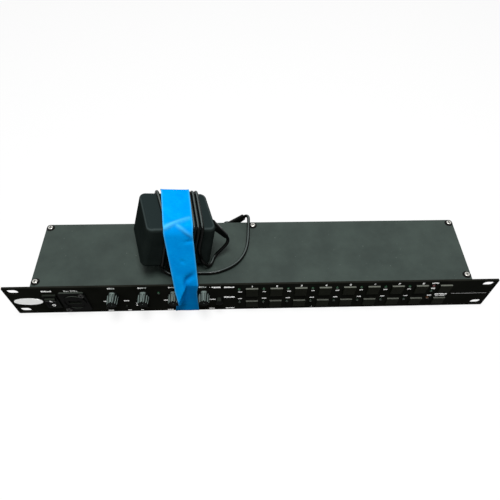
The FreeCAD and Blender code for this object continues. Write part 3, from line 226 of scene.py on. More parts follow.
tape_rows = [straight_row(on_adapter(left, b, c), on_adapter(right, b, c))
             for b, c, left, right in ADAPTER_ROWS]
panel_edge = face_row(PANEL_HIGH, (-76.0, PANEL_FACE - 8.2), (-67.6, PANEL_FACE - 5.5),
                      (-66.0, PANEL_FACE), (-54.4, PANEL_FACE))
tape_rows += [straight_row(tape_rows[-1][0].lerp(panel_edge[0], FOLD_START),
                           tape_rows[-1][-1].lerp(panel_edge[-1], FOLD_START)),
              panel_edge,
              face_row(11.5, (-74.6, KNOB_NOSE), (-73.2, KNOB_NOSE), (-68.3, PANEL_FACE), (-56.6, PANEL_FACE)),
              face_row(5.0, (-74.6, KNOB_NOSE), (-73.2, KNOB_NOSE), (-68.8, PANEL_FACE), (-57.0, PANEL_FACE)),
              face_row(-12.5, *[(x, PANEL_FACE) for x in (-80.2, -74.0, -69.0, -57.4)]),
              face_row(PANEL_LOW, *[(x, PANEL_FACE) for x in (-81.8, -75.0, -69.4, -57.6)]),
              straight_row(Vector((-86.0, CASE_REAR, CASE_LOW)), Vector((-61.0, CASE_REAR, CASE_LOW))),
              straight_row(Vector((-87.0, CASE_REAR, CASE_HIGH)), Vector((-62.0, CASE_REAR, CASE_HIGH)))]
# tape that each row's turn takes on either side of the row, mm
CORNER_ARCS = (3.2, 3.2, 3.2, 3.2, 4.0, 0.8, 1.2, 1.0, 1.2, 0.6, 0.6, 0.6)
ARC_STEPS = 5
RUN_STEP = 1.6                  # between rows on the straight runs, mm
COLUMNS = (7, 6, 10)            # cells from edge to ridge, to valley and to the other edge
OVERLAP_ROWS = 9
OVERLAP_Z = -2.0                # height on the rear of the case where the tape starts
RUN_COLUMN = -4                 # the column along which the length is taken, clear of the long fold


def tape_loop():
    """Closed rows of points round the band, with each corner eased into a short arc."""
    rows = []
    count = len(tape_rows)
    for k in range(count):
        before, here, after = tape_rows[k - 1], tape_rows[k], tape_rows[(k + 1) % count]
        cut = CORNER_ARCS[k]
        ends = []
        for p, q, r in zip(before, here, after):
            ends.append((q + (p - q).normalized() * cut, q, q + (r - q).normalized() * cut))
        for step in range(ARC_STEPS + 1):
            t = step / ARC_STEPS
            rows.append([s * (1 - t) ** 2 + q * 2 * t * (1 - t) + e * t * t for s, q, e in ends])
        next_cut = CORNER_ARCS[(k + 1) % count]
        run = (after[1] - here[1]).length - cut - next_cut
        steps = max(2, round(run / RUN_STEP))
        for step in range(1, steps):
            t = step / steps
            rows.append([e[2].lerp(r + (q - r).normalized() * next_cut, t)
                         for e, q, r in zip(ends, here, after)])
    return rows


closed_rows = tape_loop()
# the row furthest to the rear and, among those, nearest to the overlap's height
rear_start = max(range(len(closed_rows)),
                 key=lambda i: closed_rows[i][1].y - abs(closed_rows[i][1].z - OVERLAP_Z) / 10)
closed_rows = closed_rows[rear_start:] + closed_rows[:rear_start]
closed_rows += closed_rows[:OVERLAP_ROWS]
tape_grid = []                  # rows of points, from one edge of the tape to the other
for row in closed_rows:
    cells = [a.lerp(b, j / count) for a, b, count in zip(row, row[1:], COLUMNS) for j in range(count)]
    tape_grid.append(cells + [row[-1]])
tape_run = [0.0]                # how far along the tape each row is, mm
for a, b in zip(tape_grid, tape_grid[1:]):
    tape_run.append(tape_run[-1] + (b[RUN_COLUMN] - a[RUN_COLUMN]).length)
print("tape: %d rows, %.1f mm long" % (len(tape_grid), tape_run[-1]))

# %% [markdown]
# ### Creases
# A crease is a line on the flat tape, from one place to another, with a height and a width. Places are given as
# millimetres along the band and across it, so the same line stays put if the band is cut finer. A valley may
# only sink where nothing lies behind the tape, on the free stretch from the adapter down to the panel. The long
# edges curl up a little, and slow noise keeps the flat parts from looking machined. Each point also carries a
# painted highlight, pale along the raised creases and the two long edges, for the finish to read.

# %% Press the creases and make the sheet
# (along, across) start, (along, across) end, height, half width; a negative height is a valley
CREASES = [((130.4, 0.0), (119.3, 24.4), 2.2, 1.7),      # over the adapter's front edge
           ((128.0, 12.6), (138.1, 25.0), 1.4, 1.5),
           ((123.7, 24.0), (128.7, 17.5), -0.15, 2.6),
           ((143.7, 17.5), (142.7, 25.0), -0.9, 1.2),
           ((160.6, 10.5), (163.6, 13.5), -0.7, 1.4),
           ((177.5, 20.5), (186.0, 12.0), -1.8, 3.0)]     # the sag above the panel's edge
FREE_FROM, FREE_TO = 136.0, 190.0       # the stretch with nothing behind it, mm along the band
FREE_ROOM, FREE_EASE = 3.2, 5           # how far the tape may sink there, and the run over which this opens, mm
SLACK, WAVE_ALONG, WAVE_ACROSS = 0.2, 14, 9              # mean height of the slow waves, and their size, mm
CURL_LIFT, CURL_WIDTH = 0.3, 0.9        # at the two long edges
NEAREST = 0.02                          # least gap to what lies behind
OVERLAP_LIFT = 0.45                     # the free end lies on the tape's own start
# painted highlight along the two long edges, and its width in mm
EDGE_HIGHLIGHT, EDGE_HIGHLIGHT_WIDTH = 0.4, 0.7
CREASE_HIGHLIGHT = 0.26                      # painted highlight for each mm of a crease's height
TAPE_THICKNESS = 0.22


def ease(low, high, value):
    """0 up to the low value, 1 from the high one on, and smooth between them."""
    t = max(0.0, min(1.0, (value - low) / (high - low)))
    return t * t * (3 - 2 * t)


def tape_room(along):
    """How far the tape may sink here without meeting what it is strapped round."""
    started, ended = ease(FREE_FROM, FREE_FROM + FREE_EASE, along), ease(FREE_TO - FREE_EASE, FREE_TO, along)
    return FREE_ROOM * started * (1 - ended)


def bell(distance, width):
    """1 at no distance, falling to about a third at the width."""
    return math.exp(-(distance / width) ** 2)


def crease_reach(along, across, start, end):
    """The distance from a crease in mm, and how far along it the nearest place is, from 0 to 1."""
    place, start, end = Vector((along, across)), Vector(start), Vector(end)
    run = end - start
    t = max(0, min(1, (place - start).dot(run) / run.length_squared))
    return (place - start - run * t).length, t


def tape_lift(along, across, width):
    """How far the tape stands off its support here, in mm."""
    lift = SLACK + SLACK * noise.noise(Vector((along / WAVE_ALONG, across / WAVE_ACROSS, 3.1)))
    for start, end, height, half_width in CREASES:
        reach, t = crease_reach(along, across, start, end)
        ends = math.sin(math.pi * (0.12 + 0.76 * t))     # a crease is shallower at its two ends
        lift += height * ends * bell(reach, half_width)
    lift += CURL_LIFT * (bell(across, CURL_WIDTH) + bell(width - across, CURL_WIDTH))
    return max(lift, NEAREST - tape_room(along))


def tape_highlight(along, across, width):
    """How strong the painted highlight is here, pale along the long edges and raised creases, from 0 to 1."""
    painted_highlight = EDGE_HIGHLIGHT * bell(min(across, width - across), EDGE_HIGHLIGHT_WIDTH)
    for start, end, height, half_width in CREASES:
        reach, t = crease_reach(along, across, start, end)
        fading = 1 - 0.6 * t                             # the painted highlight fades towards the crease's end
        painted_highlight = max(painted_highlight, CREASE_HIGHLIGHT * height * fading * bell(reach, half_width))
    return painted_highlight


def make_tape():
    """The tape as one sheet, with its flat shape in a UV map and its painted highlight in an attribute."""
    mesh = bpy.data.meshes.new("blue_tape")
    shape = bmesh.new()
    uv = shape.loops.layers.uv.new("tape")
    painted_highlight = shape.verts.layers.float.new("painted_highlight")
    last = len(tape_grid) - 1
    grid, flat = [], []
    for i, row in enumerate(tape_grid):
        ahead, behind = tape_grid[min(i + 1, last)], tape_grid[max(i - 1, 0)]
        cells, places = [], []
        width = sum((b - a).length for a, b in zip(row, row[1:]))
        across = 0
        for j, p in enumerate(row):
            if j:
                across += (p - row[j - 1]).length
            side = (row[min(j + 1, len(row) - 1)] - row[max(j - 1, 0)]).normalized()
            outward = (ahead[j] - behind[j]).normalized().cross(side).normalized()
            lift = tape_lift(tape_run[i], across, width)
            if i > last - OVERLAP_ROWS:
                lift += OVERLAP_LIFT
            cells.append(shape.verts.new((p + outward * lift) * MM))
            cells[-1][painted_highlight] = tape_highlight(tape_run[i], across, width)
            places.append((across * MM, tape_run[i] * MM))
        grid.append(cells)
        flat.append(places)
    for i in range(last):
        for j in range(len(grid[0]) - 1):
            corners = ((i, j), (i + 1, j), (i + 1, j + 1), (i, j + 1))
            face = shape.faces.new([grid[r][c] for r, c in corners])
            face.smooth = True
            for loop, (r, c) in zip(face.loops, corners):
                loop[uv].uv = flat[r][c]
    shape.to_mesh(mesh)
    shape.free()
    tape = bpy.data.objects.new("blue_tape", mesh)
    bpy.context.scene.collection.objects.link(tape)
    wall = tape.modifiers.new("thickness", "SOLIDIFY")
    wall.thickness = TAPE_THICKNESS * MM
    wall.offset = 1
    return tape


tape = make_tape()
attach(tape, "chassis")
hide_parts("strapping_tape")

# %% [markdown]
# ## Materials
# Every finish is built from nodes. Colours are written as sRGB hex, the way a paint chart gives them, and one
# function turns them into the linear values that the shader wants. A second function adds any node with its
# settings and links, so a whole material reads as a list.

# %% Colour and node helpers
def linear(hex_colour):
    """The linear values of an sRGB hex colour."""
    channels = [int(hex_colour[i:i + 2], 16) / 255 for i in (1, 3, 5)]
    return [c / 12.92 if c <= 0.04045 else ((c + 0.055) / 1.055) ** 2.4 for c in channels] + [1.0]


def add(tree, kind, settings=(), inputs=()):
    """Adds a node, sets its properties and fills or links its inputs."""
    made = tree.nodes.new(kind)
    for name, value in dict(settings).items():
        setattr(made, name, value)
    for name, value in dict(inputs).items():
        if isinstance(value, bpy.types.NodeSocket):
            tree.links.new(value, made.inputs[name])
        else:
            made.inputs[name].default_value = value
    return made


def surface(name):
    """A new material with its tree, its object coordinates and its main shader."""
    made = bpy.data.materials.new(name)
    made.use_nodes = True
    tree = made.node_tree
    tree.nodes.clear()
    shader = add(tree, "ShaderNodeBsdfPrincipled")
    add(tree, "ShaderNodeOutputMaterial", inputs={"Surface": shader.outputs["BSDF"]})
    place = add(tree, "ShaderNodeTexCoord").outputs["Object"]
    return made, tree, shader, place


def ramp(tree, factor, stops):
    """A colour ramp node with the given (position, colour) stops."""
    made = add(tree, "ShaderNodeValToRGB", inputs={"Fac": factor})
    elements = made.color_ramp.elements
    while len(elements) < len(stops):
        elements.new(0.5)                     # placed by the loop below
    for element, (position, colour) in zip(elements, stops):
        element.position = position
        element.color = colour
    return made.outputs["Color"]


def cloud(tree, place, size_mm, detail, roughness):
    """Soft noise with patches of about this size."""
    return add(tree, "ShaderNodeTexNoise", inputs={
        "Vector": place, "Scale": 1 / (size_mm * MM), "Detail": detail, "Roughness": roughness}).outputs["Fac"]


def tint(tree, colour, tone, share):
    """The colour with a tone laid over it, as far as the share says."""
    mixed = add(tree, "ShaderNodeMix", {"data_type": "RGBA"}, {"Factor": share})
    tree.links.new(colour, mixed.inputs["A"])
    mixed.inputs["B"].default_value = linear(tone)
    return mixed.outputs["Result"]


SPECK_MM, SPECK_STARTS, SPECK_FULL, SPECK_SHARE = 2.6, 0.71, 0.8, 0.6
TOP_LIGHT_FULL = 0.97                            # rise of the normal at which the painted top light is whole
# how much of the painted edge highlight shows at each rise of the normal: most where a side rounds over into the
# top
PAINTED_EDGE_SHARES = [(rise, (share, share, share, 1)) for rise, share in ((0.5, 0), (0.78, 0.6), (0.93, 0))]


def finish(name, dark, light, patch_mm, grain_mm, roughness, relief, depth_mm,
           specular=0.5, metallic=0, specks=None, painted_top_light=None, painted_edge_highlight=None):
    """A finish from two tones in patches, a roughness range and a grain, with sizes in millimetres.

    Specks are dust. Painted top light is a paler tone on faces that look up, and the normal's rise where it
    starts.
    Painted edge highlight is a pale tone on the rounded edges under such faces.
    """
    made, tree, shader, place = surface(name)
    patches = cloud(tree, place, patch_mm, 4, 0.6)
    grain = cloud(tree, place, grain_mm, 3, 0.55)
    colour = ramp(tree, patches, [(0.35, linear(dark)), (0.68, linear(light))])
    if specks:
        dusty = add(tree, "ShaderNodeMapRange", inputs={
            "Value": cloud(tree, place, SPECK_MM, 2, 0.7), "From Min": SPECK_STARTS, "From Max": SPECK_FULL,
            "To Max": SPECK_SHARE}).outputs["Result"]
        colour = tint(tree, colour, specks, dusty)
    # painted light: faces that look up get a paler tone, as if lit by the ceiling lamp
    if painted_top_light:
        tone, start = painted_top_light
        normal = add(tree, "ShaderNodeNewGeometry").outputs["Normal"]
        rise = add(tree, "ShaderNodeSeparateXYZ", inputs={"Vector": normal}).outputs["Z"]
        facing = add(tree, "ShaderNodeMapRange", {"interpolation_type": "SMOOTHSTEP"}, {
            "Value": rise, "From Min": start, "From Max": TOP_LIGHT_FULL}).outputs["Result"]
        colour = tint(tree, colour, tone, facing)
        # painted highlight: the rounded edges under such faces get a pale tone
        if painted_edge_highlight:
            colour = tint(tree, colour, painted_edge_highlight, ramp(tree, rise, PAINTED_EDGE_SHARES))
    smoothest, roughest = roughness
    rough = add(tree, "ShaderNodeMapRange", inputs={
        "Value": patches, "From Min": 0.3, "From Max": 0.7,
        "To Min": smoothest, "To Max": roughest}).outputs["Result"]
    bump = add(tree, "ShaderNodeBump", inputs={
        "Height": grain, "Strength": relief, "Distance": depth_mm * MM}).outputs["Normal"]
    tree.links.new(colour, shader.inputs["Base Color"])
    tree.links.new(rough, shader.inputs["Roughness"])
    tree.links.new(bump, shader.inputs["Normal"])
    shader.inputs["Metallic"].default_value = metallic
    shader.inputs["Specular IOR Level"].default_value = specular
    return made


# %% [markdown]
# ### Case, panel and mouldings
# These finishes differ in tone, gloss and grain. Powder coat has a fine orange peel and a few specks of dust,
# the painted panel is flatter and darker, and moulded ABS shows the spark-eroded texture of its mould. A black
# key or knob has hardly any shine, and only the faces that look up catch the pale ceiling, so these get a paler
# painted tone there by the direction of the surface. The adapter's rounded edges get a painted highlight as well.

# %% Plain finishes
POWDER_COAT = finish("charcoal_powder_coat", "#2c3632", "#36413c", patch_mm=26, grain_mm=0.9,
                     roughness=(0.42, 0.55), relief=0.3, depth_mm=0.08, specular=0.22, specks="#76807a")
PANEL_PAINT = finish("satin_black_panel_paint", "#1b1c18", "#22231f", patch_mm=24, grain_mm=0.6,
                     roughness=(0.45, 0.6), relief=0.15, depth_mm=0.05, specular=0.0)
# painted top light: the tops of the keys get a paler tone
KEY_PLASTIC = finish("moulded_key_plastic", "#171912", "#1e2018", patch_mm=8, grain_mm=0.5,
                     roughness=(0.4, 0.5), relief=0.2, depth_mm=0.04, specular=0.01, painted_top_light=("#6b6e66", 0.7))
# painted highlight: the tops of the knobs' flutes get a paler tone
KNOB_PLASTIC = finish("moulded_knob_plastic", "#0a0c0b", "#101312", patch_mm=5, grain_mm=0.5,
                      roughness=(0.42, 0.5), relief=0.1, depth_mm=0.03, specular=0.015,
                      painted_top_light=("#6c7975", 0.82))
# painted top light: the tops of the switch's bezel and rocker get a paler tone
SWITCH_PLASTIC = finish("black_switch_plastic", "#080907", "#0d0e0c", patch_mm=9, grain_mm=0.8,
                        roughness=(0.22, 0.32), relief=0.06, depth_mm=0.03, specular=0.01,
                        painted_top_light=("#262a25", 0.7))
# painted top light on the adapter's top, and a painted highlight along its rounded edges
ADAPTER_PLASTIC = finish("textured_adapter_plastic", "#1c2321", "#242b29", patch_mm=16, grain_mm=0.7,
                         roughness=(0.4, 0.5), relief=0.35, depth_mm=0.06, specular=0.0,
                         painted_top_light=("#232c2c", 0.7), painted_edge_highlight="#4a5555")
# painted highlight: a pale strip along the top of each strand of the lead
LEAD_JACKET = finish("pvc_lead_jacket", "#050605", "#0b0c0b", patch_mm=12, grain_mm=0.9,
                     roughness=(0.08, 0.12), relief=0.02, depth_mm=0.04, specular=0.06,
                     painted_top_light=("#515957", 0.88))
# painted top light: the tops of the sockets get a paler tone
SOCKET_METAL = finish("black_chromed_casting", "#080908", "#0d0d0c", patch_mm=6, grain_mm=0.4,
                      roughness=(0.3, 0.42), relief=0.15, depth_mm=0.03, specular=0.01,
                      painted_top_light=("#3a3f3a", 0.7))
BLACK_OXIDE = finish("blackened_steel_screw", "#161615", "#20201f", patch_mm=2, grain_mm=0.3,
                     roughness=(0.3, 0.4), relief=0.1, depth_mm=0.02, specular=0.15)
# painted shade: a near-black ring stands for the shaded dimple round each cover screw
DIMPLE_SHADE = finish("painted_dimple_shade", "#060606", "#0a0a0a", patch_mm=3, grain_mm=0.4,
                     roughness=(0.5, 0.6), relief=0.1, depth_mm=0.02, specular=0.1)
# painted reflection: the faces of these metal parts that look up get a near-white tone
SCREW_METAL = finish("nickel_plated_steel", "#4c4b48", "#63625e", patch_mm=2, grain_mm=0.3,
                     roughness=(0.2, 0.34), relief=0.1, depth_mm=0.02, metallic=1, painted_top_light=("#cfcec8", 0.75))
BRASS = finish("turned_brass", "#b1924a", "#cfb065", patch_mm=3, grain_mm=0.3, roughness=(0.22, 0.35),
               relief=0.1, depth_mm=0.02, metallic=1)
TURNED_METAL = finish("turned_aluminium", "#b6b8ba", "#d0d2d3", patch_mm=3, grain_mm=0.25,
                      roughness=(0.25, 0.4), relief=0.1, depth_mm=0.02, metallic=1)
LAMINATIONS = finish("varnished_steel_laminations", "#4b4a47", "#6b6a66", patch_mm=5, grain_mm=0.5,
                     roughness=(0.4, 0.6), relief=0.3, depth_mm=0.05, metallic=1)
CIRCUIT_BOARD = finish("solder_masked_board", "#0f3a1f", "#164d2a", patch_mm=7, grain_mm=0.6,
                       roughness=(0.25, 0.4), relief=0.1, depth_mm=0.03)
BADGE_WHITE = finish("pearl_white_badge", "#f0f1ef", "#fafbfa", patch_mm=12, grain_mm=0.8,
                     roughness=(0.3, 0.4), relief=0.05, depth_mm=0.02, metallic=0.55)
PRINT_WHITE = finish("silver_white_screen_ink", "#e8e9e6", "#ffffff", patch_mm=1.6, grain_mm=0.5,
                     roughness=(0.35, 0.5), relief=0.1, depth_mm=0.02, metallic=0.85)

# %% [markdown]
# ### Crepe tape
# Crepe masking tape is thin paper, crinkled across its length and saturated with blue resin. The eye reads it by
# fine lines across the band about a millimetre apart, a dull surface and slightly uneven colour. The lines follow
# the tape's own UV map, so they turn every corner with it. The painted highlight along creases and edges pales
# the colour.

# %% Crepe tape finish
CREPE_MM, CREPE_DEPTH_MM = 0.9, 0.12
CREPE_ACROSS = 0.28                           # the noise's scale across the tape, which draws it out into lines
MOTTLE_MM, MOTTLE_SHARE = 14, 0.65

TAPE_PAPER, tree, shader, _ = surface("blue_crepe_tape")
tape_uv = add(tree, "ShaderNodeUVMap", {"uv_map": "tape"}).outputs["UV"]
stretched = add(tree, "ShaderNodeMapping", inputs={
    "Vector": tape_uv, "Scale": (CREPE_ACROSS, 1.0, 1.0)}).outputs["Vector"]
crepe = cloud(tree, stretched, CREPE_MM, 3, 0.5)
mottle = add(tree, "ShaderNodeMath", {"operation": "MULTIPLY"},
             {0: cloud(tree, tape_uv, MOTTLE_MM, 4, 0.6), 1: MOTTLE_SHARE}).outputs[0]
blend = add(tree, "ShaderNodeMath", {"operation": "MULTIPLY_ADD"},
            {0: crepe, 1: 1 - MOTTLE_SHARE, 2: mottle}).outputs[0]
blues = ramp(tree, blend, [(0.34, linear("#0091ea")), (0.52, linear("#009bf2")), (0.66, linear("#04a6fa"))])
# painted highlight: the tape turns pale cyan along its raised creases and long edges
painted_highlight = add(tree, "ShaderNodeAttribute", {"attribute_name": "painted_highlight"}).outputs["Fac"]
crinkle = add(tree, "ShaderNodeBump", inputs={
    "Height": crepe, "Strength": 0.45, "Distance": CREPE_DEPTH_MM * MM}).outputs["Normal"]
tree.links.new(tint(tree, blues, "#6fd6fb", painted_highlight), shader.inputs["Base Color"])
tree.links.new(crinkle, shader.inputs["Normal"])
shader.inputs["Roughness"].default_value = 0.9
shader.inputs["Specular IOR Level"].default_value = 0
tape.data.materials.append(TAPE_PAPER)

# %% [markdown]
# ### Indicator lamps
# An indicator lamp is a dome of tinted clear epoxy. Unlit, it is dark with a deep colour and a sharp highlight,
# which a coat over a tinted body gives without the cost of glass. The two status lamps share a part, so the
# finish turns from red to amber by height.

# %% Lamp finishes
LAMPS_LOW, LAMPS_HIGH = -10 * MM, 20 * MM


def lamp_epoxy(name, stops):
    """Tinted epoxy whose colour may change with height; the stops go from the lower lamps to the upper ones."""
    made, tree, shader, place = surface(name)
    height = add(tree, "ShaderNodeSeparateXYZ", inputs={"Vector": place}).outputs["Z"]
    share = add(tree, "ShaderNodeMapRange", inputs={
        "Value": height, "From Min": LAMPS_LOW, "From Max": LAMPS_HIGH}).outputs["Result"]
    tree.links.new(ramp(tree, share, stops), shader.inputs["Base Color"])
    shader.inputs["Roughness"].default_value = 0.16
    shader.inputs["IOR"].default_value = 1.54
    shader.inputs["Specular IOR Level"].default_value = 0.15
    shader.inputs["Coat Weight"].default_value = 0.2
    shader.inputs["Coat Roughness"].default_value = 0.05
    return made


GREEN_EPOXY = lamp_epoxy("green_tinted_epoxy", [(0.0, linear("#0a1c11")), (1.0, linear("#143d25"))])
STATUS_EPOXY = lamp_epoxy("red_and_amber_epoxy", [(0.45, linear("#4c2c0c")), (0.55, linear("#451010"))])

# %% [markdown]
# ## What repeats: print blocks and rings of painted shade
# The words on the panel are far too small to read, so they are printed as rows of plain blocks. A mesh of single
# points carries each block's size as an attribute, and a Geometry Nodes tree puts a cube on each point and scales
# it. The same helpers lay a near-black ring of painted shade under every cover screw. Each result is turned into
# a plain mesh.

# %% Geometry Nodes helpers
def start_tree(name, sizes):
    """A node group that takes a geometry and some named lengths in millimetres."""
    tree = bpy.data.node_groups.new(name, "GeometryNodeTree")
    tree.interface.new_socket("Geometry", in_out="INPUT", socket_type="NodeSocketGeometry")
    for size in sizes:
        tree.interface.new_socket(size, in_out="INPUT", socket_type="NodeSocketFloat")
    tree.interface.new_socket("Geometry", in_out="OUTPUT", socket_type="NodeSocketGeometry")
    return tree, tree.nodes.new("NodeGroupInput").outputs


def end_tree(tree, geometry, material):
    """Realises the instances, sets the material and joins the group's output."""
    whole = add(tree, "GeometryNodeRealizeInstances", inputs={"Geometry": geometry}).outputs["Geometry"]
    dressed = add(tree, "GeometryNodeSetMaterial", inputs={"Geometry": whole, "Material": material})
    add(tree, "NodeGroupOutput", inputs={"Geometry": dressed.outputs["Geometry"]})


def metres(tree, length_mm):
    """A length in millimetres, in the scene's metres."""
    return add(tree, "ShaderNodeMath", {"operation": "MULTIPLY"}, {0: length_mm, 1: MM}).outputs[0]


def grow(name, points, tree, sizes, vectors=()):
    """Runs a tree on a mesh of single points and returns the result as an object with a plain mesh."""
    seeds = bpy.data.meshes.new(name + "_points")
    seeds.from_pydata([Vector(point) * MM for point in points], [], [])
    for label, values in dict(vectors).items():
        attribute = seeds.attributes.new(label, "FLOAT_VECTOR", "POINT")
        for cell, value in zip(attribute.data, values):
            cell.vector = Vector(value) * MM
    grown = bpy.data.objects.new(name, seeds)
    bpy.context.scene.collection.objects.link(grown)
    modifier = grown.modifiers.new("nodes", "NODES")
    modifier.node_group = tree
    for item in tree.interface.items_tree:
        if item.in_out == "INPUT" and item.name in sizes:
            modifier[item.identifier] = float(sizes[item.name])
    bpy.context.view_layer.update()
    seen = grown.evaluated_get(bpy.context.evaluated_depsgraph_get())
    mesh = bpy.data.meshes.new_from_object(seen)
    grown.modifiers.remove(modifier)
    grown.data = mesh
    print(name, "has", len(mesh.polygons), "faces from", len(points), "points")
    return grown


# %% [markdown]
# ### Words as blocks
# Each word is a start and an end along the panel, a height above the panel's middle and a letter height. It is
# cut into blocks of uneven width, as letters are, with a seeded random draw so that the result is the same each
# time. Some blocks are only the upper or lower part of a letter, which keeps the row from looking like a dashed
# line.

# %% Print the panel's words
PANEL_FRONT = -2.0
PRINT_SINK, PRINT_RISE = 0.02, 0.06           # how far the ink goes into the panel and stands off it, mm
PRINT_MIDDLE = PANEL_FRONT + (PRINT_SINK - PRINT_RISE) / 2
LETTER_GAP, LEAST_LETTER = 0.16, 0.3          # shares of the letter height
LETTER_WIDTHS = (0.42, 0.62, 0.78)
LETTER_PARTS = (1, 1, 0.72)                   # how much of a letter's height a block may cover
KEY_PITCH, KEY_COLUMNS = 24.15, 9

# x from, x to, z of the middle, letter height
WORDS = [(-205.5, -195.9, 16.3, 2.2), (-184.3, -179.3, 16.0, 2.2), (-177.9, -171.0, 16.0, 2.2),
         (-142.0, -134.6, 19.1, 2.2), (-112.9, -104.9, 19.1, 2.2), (-83.7, -78.0, 19.1, 2.2),
         (-54.2, -46.3, 19.1, 2.2), (-44.3, -43.2, 18.7, 1.1), (-42.0, -33.4, 18.2, 2.2),
         (-29.9, -20.2, 18.1, 2.2), (-30.7, -20.3, 1.0, 2.2), (-29.8, -20.8, -19.5, 1.6),
         (-150.8, -147.6, -2.8, 1.4), (-130.8, -125.5, -2.4, 1.4), (-119.6, -115.5, -7.0, 1.4),
         (-120.0, -113.2, -10.9, 1.4), (-117.3, -114.5, -19.7, 1.4), (-150.3, -144.7, -19.7, 1.4),
         (-130.3, -127.0, -19.7, 1.4), (-91.1, -86.1, -2.5, 1.4), (-89.7, -83.2, -20.2, 1.4),
         (-46.5, -39.2, -2.6, 1.4), (-46.9, -41.5, -19.5, 1.4),
         (175.0, 181.9, 18.9, 2.0), (176.5, 180.7, 10.3, 1.4),
         (184.0, 196.4, -0.4, 2.0), (185.2, 195.4, -3.2, 1.4), (59.2, 60.2, -19.2, 1.2)]
# two short words beside every key
WORDS += [(x + KEY_PITCH * k, x + KEY_PITCH * k + length, z, 1.4) for k in range(KEY_COLUMNS)
          for x, length, z in ((-16.2, 3.6, 9.5), (-16.7, 4.2, -2.2))]
RULE = (200.5, 237.5, 0.2, 0.18)              # a thin line, not cut into blocks

draws = random.Random(41)
block_places, block_sizes = [], []


def print_block(x0, x1, z, height):
    """Sets down one block of ink between x0 and x1, for the tree to grow."""
    block_places.append(((x0 + x1) / 2, PRINT_MIDDLE, z))
    block_sizes.append((x1 - x0, PRINT_SINK + PRINT_RISE, height))


for x0, x1, z, height in WORDS:
    x = x0
    while x < x1 - LEAST_LETTER * height:
        wide = min(draws.choice(LETTER_WIDTHS) * height, x1 - x)
        part = draws.choice(LETTER_PARTS)
        side = draws.choice((-1, 1))
        print_block(x, x + wide, z + side * (1 - part) * height / 2, height * part)
        x += wide + LETTER_GAP * height
print_block(*RULE)

tree, inputs = start_tree("print_blocks", ["Scale"])
block = add(tree, "GeometryNodeMeshCube", inputs={"Size": (1, 1, 1)}).outputs["Mesh"]
size = add(tree, "GeometryNodeInputNamedAttribute", {"data_type": "FLOAT_VECTOR"}, {"Name": "block_size"})
scaled = add(tree, "ShaderNodeVectorMath", {"operation": "SCALE"},
             {0: size.outputs["Attribute"], "Scale": inputs["Scale"]}).outputs[0]
blocks = add(tree, "GeometryNodeInstanceOnPoints", inputs={
    "Points": inputs["Geometry"], "Instance": block, "Scale": scaled}).outputs["Instances"]
end_tree(tree, blocks, PRINT_WHITE)
words = grow("panel_words", block_places, tree, {"Scale": 1}, {"block_size": block_sizes})
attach(words, "chassis")

# %% [markdown]
# ### Key numbers
# The upper keys are numbered from one to eight. Each number is plain text, turned to a mesh while it still lies
# flat and then stood up against the panel, and all eight are joined in one piece.

# %% Number the keys
NUMBERS = 8
NUMBER_HEIGHT, NUMBER_Z = 2.7, 18.2
DIGIT_SHARE = 0.7               # a digit's height as a share of the font size
STROKE_GAIN = 0.16              # how much the ink fattens each stroke, mm
FIRST_NUMBER_X, LAST_NUMBER_X = -2.5, 166.4
NUMBER_PITCH = (LAST_NUMBER_X - FIRST_NUMBER_X) / (NUMBERS - 1)


def number_mesh(text, x):
    """A number as a thin mesh against the panel, centred at x."""
    curve = bpy.data.curves.new("number", "FONT")
    curve.body = text
    curve.size = NUMBER_HEIGHT / DIGIT_SHARE * MM
    curve.align_x, curve.align_y = "CENTER", "CENTER"
    curve.extrude = (PRINT_SINK + PRINT_RISE) / 2 * MM
    curve.offset = STROKE_GAIN * MM
    holder = bpy.data.objects.new("number", curve)
    bpy.context.scene.collection.objects.link(holder)
    bpy.context.view_layer.update()
    mesh = bpy.data.meshes.new_from_object(holder.evaluated_get(bpy.context.evaluated_depsgraph_get()))
    bpy.data.curves.remove(curve)
    mesh.transform(Matrix.Translation(Vector((x, PRINT_MIDDLE, NUMBER_Z)) * MM)
                   @ Matrix.Rotation(math.radians(90), 4, "X"))
    return mesh


numbers = bmesh.new()
for n in range(NUMBERS):
    number = number_mesh(str(n + 1), FIRST_NUMBER_X + NUMBER_PITCH * n)
    numbers.from_mesh(number)
    bpy.data.meshes.remove(number)
bmesh.ops.remove_doubles(numbers, verts=numbers.verts, dist=0.001 * MM)
number_print = bpy.data.meshes.new("key_numbers")
numbers.to_mesh(number_print)
numbers.free()
number_print.materials.append(PRINT_WHITE)
key_numbers = bpy.data.objects.new("key_numbers", number_print)
bpy.context.scene.collection.objects.link(key_numbers)
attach(key_numbers, "chassis")
print("key numbers:", len(number_print.polygons), "faces")

# %% [markdown]
# ### Marks on the rocker
# A mains rocker carries a bar on its on side and a ring on its off side. They are pad-printed and move with the
# rocker, so both lie in the planes of its two faces, which meet in a shallow valley.

# %% Print the rocker's bar and ring
ROCKER_X = -200.2
# y and z of the valley between the two faces, and of their outer edges
VALLEY, UPPER_EDGE, LOWER_EDGE = (-3.537, -0.598), (-6.291, 6.560), (-3.944, -8.256)
# how far from the valley each mark stands, and the bar's length, as shares of the face
BAR_PLACE, BAR_SHARE, RING_PLACE = 0.5, 0.72, 0.62
BAR_WIDTH, RING_INSIDE, RING_OUTSIDE, RING_STEPS = 1.6, 1.1, 1.7, 32


def rocker_face(edge):
    """A frame on one rocker face: x across, y along the face from the valley, z outwards."""
    run = Vector((0, edge[0] - VALLEY[0], edge[1] - VALLEY[1]))
    along = run.normalized()
    out = Vector((1, 0, 0)).cross(along)
    out = out if out.y < 0 else -out
    turn = Matrix((along.cross(out), along, out)).transposed().to_4x4()
    return Matrix.Translation(Vector((ROCKER_X, *VALLEY)) * MM) @ turn, run.length


